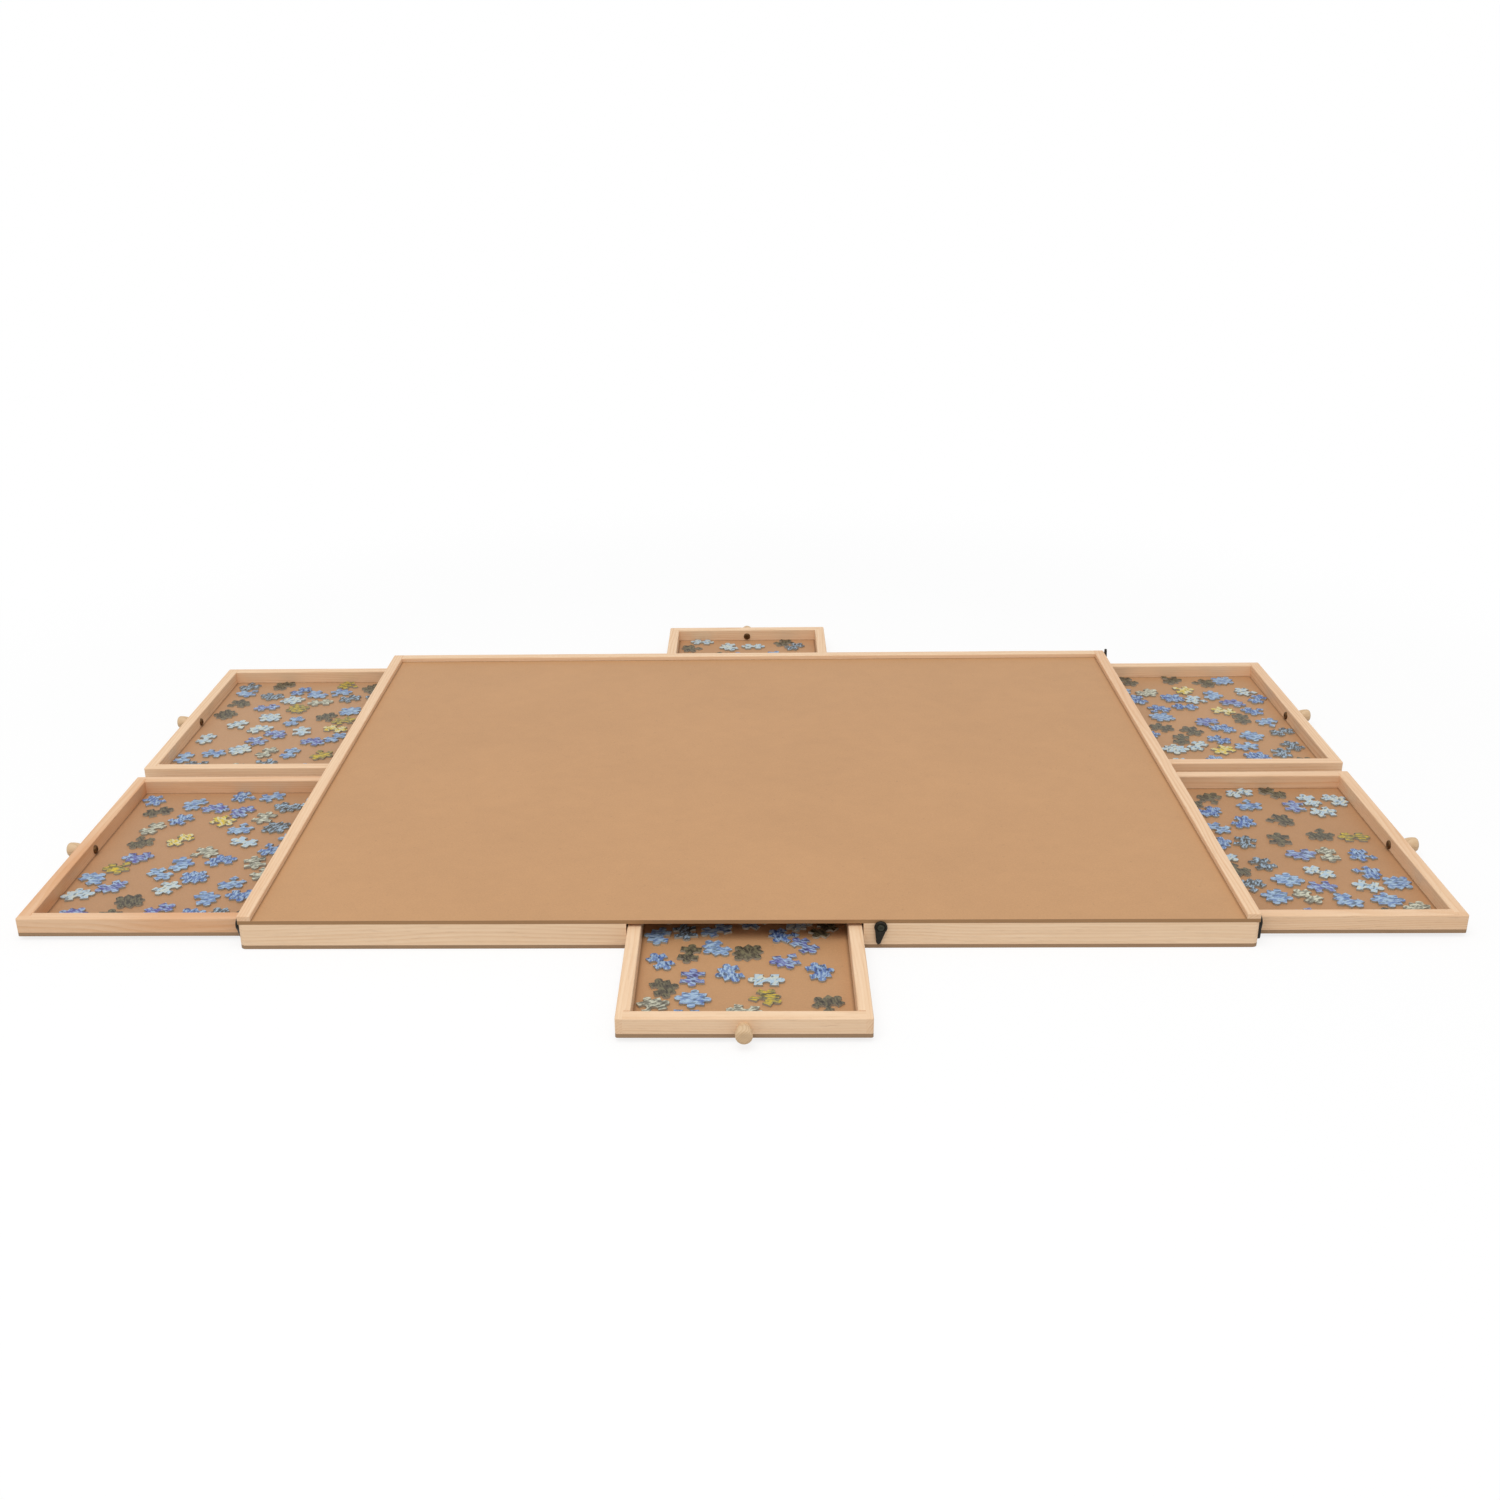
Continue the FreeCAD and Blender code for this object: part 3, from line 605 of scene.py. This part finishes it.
def printed_card(name, first, second, card, turn):
    """Printed card: two colours in short soft strokes, a slight sheen, and a plain cut edge.

    Turn is the angle about Z at which the strokes run.
    """
    finish = Finish(name)
    turned = {"Vector": finish.place, "Rotation": (0.0, 0.0, turn)}
    finish.place = finish.node("ShaderNodeMapping", {}, turned)
    cloud = finish.even_noise(60.0, detail=2.0).between(0.40, 0.66)
    stroke = finish.noise((460.0, 150.0, 220.0), (0.3, 0.1, 0.0)).between(0.44, 0.58)
    dab = finish.noise((360.0, 170.0, 300.0), (0.7, 0.2, 0.0), detail=2.0).between(0.54, 0.63)
    colour = finish.mix(cloud * 0.25 + stroke * 0.7, first, second)
    colour = finish.mix(dab * 0.75, colour, shade(first, 0.2))
    side = finish.on_edge()
    layer = finish.noise((60.0, 60.0, 2600.0), detail=1.0)
    colour = finish.mix(side, colour, finish.mix(layer, card, shade(card, 0.7)))
    linen = finish.even_noise(1500.0, detail=1.0)
    roughness = 0.42 + side * 0.3 + linen * 0.1
    return finish.surface(colour, roughness, linen, depth=0.00003, Specular_IOR_Level=0.35)


def white_ground(name, shown, reach, bounce):
    """A floor that looks white, and still takes the object's shadow near the middle."""
    finish = Finish(name)
    near = finish.away_from((0.0, 0.0, 0.0)).within(reach, core=0.55)
    seen = finish.seen()
    colour = finish.mix(seen, (bounce, bounce, bounce), WHITE[:3])
    matt = finish.node("ShaderNodeBsdfDiffuse", {}, {"Color": colour})
    white = finish.node("ShaderNodeEmission", {}, {"Color": WHITE, "Strength": 1.0})
    plain = seen * (1.0 - near * shown)
    surface = finish.node("ShaderNodeMixShader", {}, {0: plain, 1: matt, 2: white})
    finish.output("ShaderNodeOutputMaterial", surface)
    return finish.material


# --- Modelling ---


def choose(piece):
    """Select one piece alone and make it the active one."""
    bpy.ops.object.select_all(action="DESELECT")
    piece.select_set(True)
    bpy.context.view_layer.objects.active = piece


def start(name, add, **settings):
    """Add a primitive with nothing else selected."""
    bpy.ops.object.select_all(action="DESELECT")
    add(**settings)
    piece = bpy.context.object
    piece.name = name
    piece.data.name = name
    return piece


def settle():
    """Bake the place, turn and size of the chosen piece into its mesh."""
    bpy.ops.object.transform_apply(location=True, rotation=True, scale=True)


def add_disc(name, radius, sides):
    settings = {"vertices": sides, "radius": radius, "fill_type": "NGON"}
    return start(name, bpy.ops.mesh.primitive_circle_add, **settings)


def add_block(name, size, place):
    block = start(name, bpy.ops.mesh.primitive_cube_add, size=1.0, location=place, scale=size)
    settle()
    return block


def edit(piece):
    choose(piece)
    bpy.ops.object.mode_set(mode="EDIT")


def leave():
    bpy.ops.object.mode_set(mode="OBJECT")


def pick(mode, test):
    """Select the faces, edges or vertices of the edited piece that pass a test."""
    bpy.ops.mesh.select_mode(type=mode)
    bpy.ops.mesh.select_all(action="DESELECT")
    mesh = bmesh.from_edit_mesh(bpy.context.object.data)
    elements = {"VERT": mesh.verts, "EDGE": mesh.edges, "FACE": mesh.faces}[mode]
    found = [element for element in elements if test(element)]
    for element in found:
        element.select_set(True)
    mesh.select_flush_mode()
    bmesh.update_edit_mesh(bpy.context.object.data)
    if not found:
        raise RuntimeError(f"nothing to pick on {bpy.context.object.name}")


def extrude(move):
    bpy.ops.mesh.extrude_region_move(TRANSFORM_OT_translate={"value": move})


def pick_all():
    bpy.ops.mesh.select_all(action="SELECT")


def stretch(x, y):
    """Scale what is picked about the Z axis."""
    bpy.ops.transform.resize(value=(x, y, 1), center_override=(0, 0, 0))


def face_outwards():
    pick_all()
    bpy.ops.mesh.normals_make_consistent(inside=False)


def turn_up(piece, profile):
    """Raise a disc into a turned solid. Profile lists the height and radius of each ring."""
    edit(piece)
    pick("FACE", lambda face: True)
    height, radius = 0.0, max(vertex.co.length for vertex in piece.data.vertices)
    for next_height, next_radius in profile:
        extrude((0, 0, next_height - height))
        stretch(next_radius / radius, next_radius / radius)
        height, radius = next_height, next_radius
    face_outwards()
    leave()


def arc(height, radius, corner, steps):
    """Rings of a rounded shoulder that ends at a height, on a turned solid of a radius."""
    turns = [math.pi / 2 * step / steps for step in range(1, steps + 1)]
    flat, core = height - corner, radius - corner
    return [(flat + corner * math.sin(turn), core + corner * math.cos(turn)) for turn in turns]


def combine(piece, other, operation):
    """Join another piece to a piece, or cut it away, and use it up."""
    choose(piece)
    modifier = piece.modifiers.new("Boolean", "BOOLEAN")
    modifier.object = other
    modifier.operation = operation
    modifier.solver = "EXACT"
    bpy.ops.object.modifier_apply(modifier=modifier.name)
    remove(other)


def smooth(piece, degrees):
    choose(piece)
    bpy.ops.object.shade_smooth_by_angle(angle=math.radians(degrees))


def copy_to(pattern, name, place, outwards, spin=0.0):
    """A copy of a pattern piece with its own mesh, its place baked into it.

    It is spun about +Z, and then +Z is taken to the outward side with +Y up.
    """
    choose(pattern)
    bpy.ops.object.duplicate(linked=False)
    piece = bpy.context.object
    piece.name = name
    piece.data.name = name
    basis = Matrix((UP.cross(outwards), UP, outwards)).transposed().to_4x4()
    turn = basis @ Matrix.Rotation(spin, 4, "Z")
    piece.matrix_world = Matrix.Translation(place) @ turn
    settle()
    return piece


def remove(piece):
    choose(piece)
    bpy.ops.object.delete()


def dress(piece, material):
    piece.data.materials.clear()
    piece.data.materials.append(material)


def paint_node(node, material):
    """Give a CAD node a finish, in the slots it already has."""
    for slot in NODES[node].material_slots:
        slot.material = material


def outward_of(body):
    """The way a drawer slides out, or the way a latch faces: its joint's axis."""
    return Vector(JOINTS[body]["axis"])


def way_of(body):
    """0 for a body that faces left or right, 1 for one that faces the front or the back."""
    return 0 if abs(outward_of(body).x) > 0.5 else 1


def length_of(node, direction):
    low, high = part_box(node)
    return abs((high - low).dot(direction))


def end_of(node, direction):
    """Middle of the end of a node that lies furthest in a direction."""
    low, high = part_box(node)
    return (low + high) / 2 + direction * (length_of(node, direction) / 2)


def free_floor(drawer):
    """Lowest and highest X, and then Y, of the floor between a drawer's walls."""
    walls = [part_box(f"{drawer}_{wall}") for wall, _ in DRAWER_WALLS]
    free = []
    for way in (0, 1):
        # Either way, the near wall is the first to end and the far one the last to start.
        free.append((min(high[way] for _, high in walls), max(low[way] for low, _ in walls)))
    return free


# --- Operators ---


class FinishBoards(bpy.types.Operator):
    """Give every board of the case and its drawers the look of pine or hardboard"""

    bl_idname = "puzzle_case.finish_boards"
    bl_label = "Finish the boards"

    def execute(self, context):
        boards = context.scene.case_boards
        for seed, (node, along, warm) in enumerate(CASE_PINE, CASE_SEED):
            paint_node(node, pine(f"pine_{node}", along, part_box(node), seed, warm))
        left, right, back = [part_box(f"rim_{side}") for side in ("left", "right", "back")]
        # The deck has no rim at the front, so its free face is taken far beyond that edge.
        free = ((left[1].x, right[0].x), (-CASE_CORNER.y * 2, back[0].y))
        deck = hardboard("hardboard_deck", boards.deck, boards.deck_edge, seed=1, free=free)
        paint_node("deck_board", deck)
        paint_node("base_board", hardboard("hardboard_base", boards.base, boards.edge, seed=2))
        for number, drawer in enumerate(DRAWERS):
            self.finish_drawer(boards, drawer, DRAWER_SEED + SEED_STEP * number)
        return {"FINISHED"}

    def finish_drawer(self, boards, drawer, seed):
        warm, floor = DRAWER_TONES[drawer]
        for wall, crosswise in DRAWER_WALLS:
            seed += 1
            node = f"{drawer}_{wall}"
            along = (way_of(drawer) + crosswise) % 2
            finish = pine(f"pine_{node}", along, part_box(node), seed, warm, HEARTS.get(node))
            paint_node(node, finish)
        colour, free = linear(*floor), free_floor(drawer)
        finish = hardboard(f"hardboard_{drawer}", colour, boards.edge, seed, free)
        paint_node(f"{drawer}_floor", finish)


class AddKnobs(bpy.types.Operator):
    """Turn one knob and put a copy on each drawer"""

    bl_idname = "puzzle_case.add_knobs"
    bl_label = "Add the knobs"

    def execute(self, context):
        knobs = context.scene.case_knobs
        length = length_of(f"{DRAWERS[0]}_knob", outward_of(DRAWERS[0]))
        pattern = add_disc("knob_pattern", knobs.foot_radius, knobs.sides)
        turn_up(pattern, self.profile(knobs, length))
        smooth(pattern, degrees=50)
        for drawer in DRAWERS:
            outwards = outward_of(drawer)
            place = end_of(f"{drawer}_knob", -outwards)
            knob = copy_to(pattern, f"{drawer}_turned_knob", place, outwards)
            dress(knob, turned_wood(f"turned_{drawer}_knob", outwards, place))
            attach(knob, drawer)
            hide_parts(f"{drawer}_knob")
        remove(pattern)
        return {"FINISHED"}

    def profile(self, knobs, length):
        """Height and radius of a knob's rings: a straight foot, a flare, a dimpled crown."""
        foot, head = knobs.foot_radius, knobs.head_radius
        rings = [(knobs.foot_length * 0.5, foot), (knobs.foot_length, foot)]
        flare = length - knobs.head_length - knobs.foot_length
        for step in range(1, KNOB_STEPS + 1):
            share = step / KNOB_STEPS
            radius = foot + (head - foot) * math.sin(share * math.pi / 2)
            rings.append((knobs.foot_length + flare * share, radius))
        rings.append((length - knobs.round_radius, head))
        rings += arc(length, head, knobs.round_radius, KNOB_STEPS)
        return rings + [(length - depth, radius) for depth, radius in KNOB_DIMPLE]


class AddScrews(bpy.types.Operator):
    """Make the round-head screws of the knobs and of the latches"""

    bl_idname = "puzzle_case.add_screws"
    bl_label = "Add the screws"

    def execute(self, context):
        self.add_knob_screws(context.scene.case_screws)
        self.add_latch_screws(context.scene.case_screws)
        return {"FINISHED"}

    def add_knob_screws(self, screws):
        bronze = plated_metal("bronze_plating", screws.colour)
        whole = length_of(f"{DRAWERS[0]}_knob_screw", outward_of(DRAWERS[0]))
        sizes = (screws.knob_head, screws.knob_rise, screws.knob_shank, whole - screws.knob_rise)
        pattern = self.make_screw(screws, "knob_screw_pattern", *sizes)
        spin = math.radians(KNOB_SCREW_TURN)
        for drawer in DRAWERS:
            outwards = outward_of(drawer)
            node = f"{drawer}_knob_screw"
            place = end_of(node, -outwards) + outwards * screws.knob_rise
            screw = copy_to(pattern, f"{drawer}_crosshead_screw", place, -outwards, spin)
            dress(screw, bronze)
            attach(screw, drawer)
            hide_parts(node)
        remove(pattern)

    def add_latch_screws(self, screws):
        # The screws' paint is lighter than the latches', as a painted highlight on the screw heads.
        black = black_paint("black_screw_paint", screws.latch_colour_and_highlight)
        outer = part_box("latch_screws")[1]
        below_outer = screws.latch_rise + screws.latch_sunk
        length = outer.x - CASE_CORNER.x - below_outer + screws.latch_bite
        sizes = (screws.latch_head, screws.latch_rise, screws.latch_shank, length)
        pattern = self.make_screw(screws, "latch_screw_pattern", *sizes)
        made = []
        for number, latch in enumerate(LATCHES):
            outwards = outward_of(latch)
            pivot = Vector(JOINTS[latch]["pos_m"])
            level = outer[way_of(latch)] - below_outer
            place = pivot + outwards * (level - pivot.dot(outwards))
            spin = math.radians(LATCH_SCREW_TURN + LATCH_SCREW_STEP * number)
            screw = copy_to(pattern, f"{latch}_screw", place, outwards, spin)
            dress(screw, black)
            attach(screw, "case")
            made.append(screw)
        for screw in made:
            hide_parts("latch_screws")
        remove(pattern)

    def make_screw(self, screws, name, head, rise, shank, length):
        """A screw whose head sits on the plane Z = 0 and whose shank goes down from it."""
        screw = add_disc(name, head * HEAD_FOOT, SCREW_SIDES)
        dome = arc(rise, head, rise * (1 - HEAD_EDGE), DOME_STEPS)
        turn_up(screw, [(rise * HEAD_EDGE, head)] + dome)
        below = add_disc(name + "_shank", shank * TIP_END, SCREW_SIDES)
        point = [(screws.tip, shank * TIP_SHOULDER), (screws.point, shank)]
        turn_up(below, point + [(length + rise * SHANK_IN_HEAD, shank)])
        edit(below)
        pick_all()
        bpy.ops.transform.translate(value=(0, 0, -length))
        leave()
        combine(screw, below, "UNION")
        combine(screw, self.make_cross(name + "_cross", head, rise), "DIFFERENCE")
        smooth(screw, degrees=30)
        return screw

    def make_cross(self, name, head, rise):
        """The tapered cross that is sunk in a screw head."""
        half_width = head * CROSS_HALF_WIDTH
        arm_length = head * CROSS_HALF_LENGTH - half_width
        size = (half_width * 2, half_width * 2, rise * CROSS_DEPTH * 2)
        cross = add_block(name, size, (0, 0, rise))
        edit(cross)
        for x, y in ((1, 0), (-1, 0), (0, 1), (0, -1)):
            arm = Vector((x, y, 0))
            sideways = UP.cross(arm)
            pick("FACE", lambda face: face.normal.dot(arm) > 0.9
                 and abs(face.calc_center_median().dot(sideways)) < half_width / 2)
            extrude(arm * arm_length)
        pick("VERT", lambda vertex: vertex.co.z < rise)
        stretch(CROSS_TAPER, CROSS_TAPER)
        face_outwards()
        leave()
        return cross


class AddLatches(bpy.types.Operator):
    """Shape one turn button and put a copy at each drawer opening"""

    bl_idname = "puzzle_case.add_latches"
    bl_label = "Add the latches"

    def execute(self, context):
        latches = context.scene.case_latches
        pattern = self.make_latch(latches)
        paint = black_paint("black_latch_paint", latches.colour)
        for latch in LATCHES:
            outwards = outward_of(latch)
            pivot = Vector(JOINTS[latch]["pos_m"])
            inner = end_of(latch, -outwards)
            place = pivot + outwards * (inner - pivot).dot(outwards)
            spin = self.spin_of(latch, pivot, outwards)
            turn = copy_to(pattern, f"{latch}_turn_button", place, outwards, spin)
            dress(turn, paint)
            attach(turn, latch)
            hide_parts(latch)
        remove(pattern)
        return {"FINISHED"}

    def spin_of(self, latch, pivot, outwards):
        """How far the tip of a latch is turned about the outward side from straight down."""
        side = UP.cross(outwards)
        points = []
        for vertex in NODES[latch].data.vertices:
            away = vertex.co - pivot
            points.append((away.dot(side), away.dot(UP)))
        reach = max(math.hypot(*point) for point in points)
        far = [point for point in points if math.hypot(*point) > reach - CLOSE]
        x, y = (sum(parts) / len(far) for parts in zip(*far))
        return math.atan2(x, -y)

    def make_latch(self, latches):
        """A turn button on the plane Z = 0 with its tip towards -Y.

        Of a disc, what lies beyond the neck is narrowed and drawn out into the arm.
        """
        head, neck, thick = latches.head_radius, latches.neck, latches.thick
        plate = add_disc("latch_pattern", head, LATCH_SIDES)
        edit(plate)
        pick("VERT", lambda vertex: -vertex.co.y > neck)
        stretch(latches.tip_width / math.sqrt(head ** 2 - neck ** 2), 1)
        bpy.ops.transform.translate(value=(0, head - latches.reach, 0))
        pick("FACE", lambda face: True)
        extrude((0, 0, thick))
        face_outwards()
        pick("EDGE", lambda edge: all(vertex.co.z > thick / 2 for vertex in edge.verts))
        bpy.ops.mesh.bevel(offset=latches.rounding, segments=LATCH_STEPS, affect="EDGES")
        leave()
        dish, radius = latches.dish, latches.dish_radius
        hollow = add_disc("latch_hollow", radius * (1 - DISH_FLARE), DISH_SIDES)
        turn_up(hollow, [(dish, radius), (dish * 2, radius * (1 + DISH_FLARE))])
        hollow.location.z = thick - dish
        combine(plate, hollow, "DIFFERENCE")
        hole = add_disc("latch_hole", latches.bore, SCREW_SIDES)
        turn_up(hole, [(thick * 2, latches.bore)])
        hole.location.z = -thick / 2
        combine(plate, hole, "DIFFERENCE")
        smooth(plate, degrees=35)
        return plate


class ScatterPieces(bpy.types.Operator):
    """Scatter loose puzzle pieces over the drawer floors. Left out, the drawers stay empty"""

    bl_idname = "puzzle_case.scatter_pieces"
    bl_label = "Scatter the puzzle pieces"

    def execute(self, context):
        settings = context.scene.case_pieces
        prints = []
        for number, (first, second, _) in enumerate(PRINTS):
            colours = (getattr(settings, first), getattr(settings, second), settings.card)
            name = f"print_{first}_{second}"
            prints.append(printed_card(name, *colours, STROKE_TURN * number))
        weights = [weight for _, _, weight in PRINTS]
        patterns = []
        for number, cut in enumerate(CUTS):
            patterns.append(self.make_piece(settings, f"piece_pattern_{number}", cut))
        draw = random.Random(settings.seed)
        for drawer in DRAWERS:
            laid = []
            for pattern, stand in self.places(settings, draw, patterns, drawer):
                piece = pattern.copy()
                piece.data = pattern.data.copy()
                context.collection.objects.link(piece)
                piece.matrix_world = stand
                dress(piece, draw.choices(prints, weights)[0])
                laid.append(piece)
            self.gather(laid, drawer)
        for pattern in patterns:
            remove(pattern)
        return {"FINISHED"}

    def places(self, settings, draw, patterns, drawer):
        """Which pattern lies how in a drawer, clear of its walls and of the other pieces."""
        (left, right), (front, back) = free_floor(drawer)
        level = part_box(f"{drawer}_floor")[1].z
        # Room is in square millimetres, the floor in square metres.
        wanted = int((right - left) * (back - front) * 1e6 / settings.room)
        swell = Matrix.Diagonal((settings.swell, settings.swell, 1, 1))
        found, taken = [], []
        for _ in range(wanted * TRIES_PER_PIECE):
            pattern = draw.choice(patterns)
            spot = (draw.uniform(left, right), draw.uniform(front, back), level)
            turn = Matrix.Rotation(draw.uniform(0, 2 * math.pi), 4, "Z")
            stand = Matrix.Translation(spot) @ turn
            points = [stand @ swell @ vertex.co for vertex in pattern.data.vertices]
            if not all(left < point.x < right and front < point.y < back for point in points):
                continue
            faces = [face.vertices for face in pattern.data.polygons]
            shape = BVHTree.FromPolygons(points, faces)
            if any(shape.overlap(other) for other in taken):
                continue
            found.append((pattern, stand))
            taken.append(shape)
            if len(found) == wanted:
                break
        return found

    def gather(self, laid, drawer):
        """Join the pieces of one drawer, which all move with it."""
        bpy.ops.object.select_all(action="DESELECT")
        for piece in laid:
            piece.select_set(True)
        bpy.context.view_layer.objects.active = laid[0]
        bpy.context.view_layer.update()
        bpy.ops.object.join()
        settle()
        heap = bpy.context.object
        heap.name = f"{drawer}_puzzle_pieces"
        heap.data.name = heap.name
        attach(heap, drawer)

    def make_piece(self, settings, name, cut):
        """One puzzle piece on the plane Z = 0, with a tab or a socket on each side."""
        thick, middle = settings.thick, settings.thick / 2
        sides = (settings.length, settings.width)
        piece = add_block(name, (*sides, thick), (0, 0, middle))
        edit(piece)
        pick_all()
        bpy.ops.mesh.subdivide(number_cuts=1)
        pick("VERT", lambda vertex: min(abs(vertex.co.x), abs(vertex.co.y)) < CLOSE)
        stretch(settings.waist, settings.waist)
        leave()
        for number, reach in enumerate(cut):
            turn = number * math.pi / 2
            away = sides[number % 2] / 2 * settings.waist + reach * settings.tab
            # A socket goes right through the card. Half a side's turn keeps the corners of
            # a tab off the middle lines of the piece, where the join would leave slivers.
            disc = start(
                f"{name}_tab", bpy.ops.mesh.primitive_cylinder_add,
                vertices=TAB_SIDES, radius=settings.tab, depth=thick if reach > 0 else thick * 2,
                location=(math.cos(turn) * away, math.sin(turn) * away, middle),
                rotation=(0, 0, math.pi / TAB_SIDES)
            )
            settle()
            combine(piece, disc, "UNION" if reach > 0 else "DIFFERENCE")
        edit(piece)
        pick_all()
        bpy.ops.mesh.remove_doubles(threshold=WELD)
        bpy.ops.mesh.dissolve_limited(angle_limit=math.radians(1))
        leave()
        return piece


class AddStage(bpy.types.Operator):
    """Add the floor, the sky, the lamp and the camera"""

    bl_idname = "puzzle_case.add_stage"
    bl_label = "Add the stage"

    def execute(self, context):
        stage = context.scene.case_stage
        self.lay_floor(stage)
        self.light_world(context, stage)
        self.hang_lamp(stage)
        self.place_camera(context, stage)
        context.scene.view_settings.view_transform = "Standard"
        return {"FINISHED"}

    def lay_floor(self, stage):
        settings = {"size": stage.floor_size, "location": (0, 0, -stage.floor_gap)}
        floor = start("floor", bpy.ops.mesh.primitive_plane_add, **settings)
        settle()
        shading = (stage.floor_shade, stage.shade_reach, stage.floor_bounce)
        dress(floor, white_ground("white_floor", *shading))

    def light_world(self, context, stage):
        world = bpy.data.worlds.new("studio")
        context.scene.world = world
        sky = Shader(world)
        even = sky.node("ShaderNodeBackground", {}, {"Color": WHITE, "Strength": stage.sky})
        white = sky.node("ShaderNodeBackground", {}, {"Color": WHITE, "Strength": 1.0})
        surface = sky.node("ShaderNodeMixShader", {}, {0: sky.seen(), 1: even, 2: white})
        sky.output("ShaderNodeOutputWorld", surface)

    def hang_lamp(self, stage):
        bpy.ops.object.light_add(type="AREA", location=stage.lamp_place)
        lamp = bpy.context.object
        lamp.name = "overhead_lamp"
        lamp.data.shape = "SQUARE"
        lamp.data.size = stage.lamp_size
        lamp.data.energy = stage.lamp
        lamp.rotation_euler = (-lamp.location).to_track_quat("-Z", "Y").to_euler()
        lamp.visible_camera = False

    def place_camera(self, context, stage):
        bpy.ops.object.camera_add(location=stage.camera_place)
        camera = context.object
        camera.name = "camera"
        down, right, left_roll = stage.camera_turn
        turn = Matrix.Rotation(-right, 3, "Z") @ Matrix.Rotation(math.pi / 2 - down, 3, "X")
        camera.rotation_euler = (turn @ Matrix.Rotation(left_roll, 3, "Z")).to_euler()
        camera.data.sensor_width = 36.0
        camera.data.lens = stage.lens
        camera.data.shift_x = stage.shift
        camera.data.clip_start = 0.01
        context.scene.camera = camera


# --- Panel and registration ---


class CasePanel(bpy.types.Panel):
    """Lists the steps that dress the case, with their settings"""

    bl_idname = "VIEW3D_PT_puzzle_case"
    bl_label = "Puzzle case"
    bl_space_type = "VIEW_3D"
    bl_region_type = "UI"
    bl_category = "Puzzle case"

    def draw(self, context):
        for operator in OPERATORS:
            self.layout.operator(operator.bl_idname)
        for name, group in GROUPS.items():
            box = self.layout.box()
            for setting in group.__annotations__:
                box.prop(getattr(context.scene, name), setting)


OPERATORS = (FinishBoards, AddKnobs, AddScrews, AddLatches, ScatterPieces, AddStage)


def register():
    for kind in (*GROUPS.values(), *OPERATORS, CasePanel):
        bpy.utils.register_class(kind)
    for name, group in GROUPS.items():
        setattr(bpy.types.Scene, name, bpy.props.PointerProperty(type=group))


def unregister():
    for name in GROUPS:
        delattr(bpy.types.Scene, name)
    for kind in reversed((*GROUPS.values(), *OPERATORS, CasePanel)):
        bpy.utils.unregister_class(kind)


def main():
    register()
    bpy.ops.puzzle_case.add_stage()
    bpy.ops.puzzle_case.finish_boards()
    bpy.ops.puzzle_case.add_knobs()
    bpy.ops.puzzle_case.add_screws()
    bpy.ops.puzzle_case.add_latches()
    bpy.ops.puzzle_case.scatter_pieces()


if __name__ == "__main__":
    main()
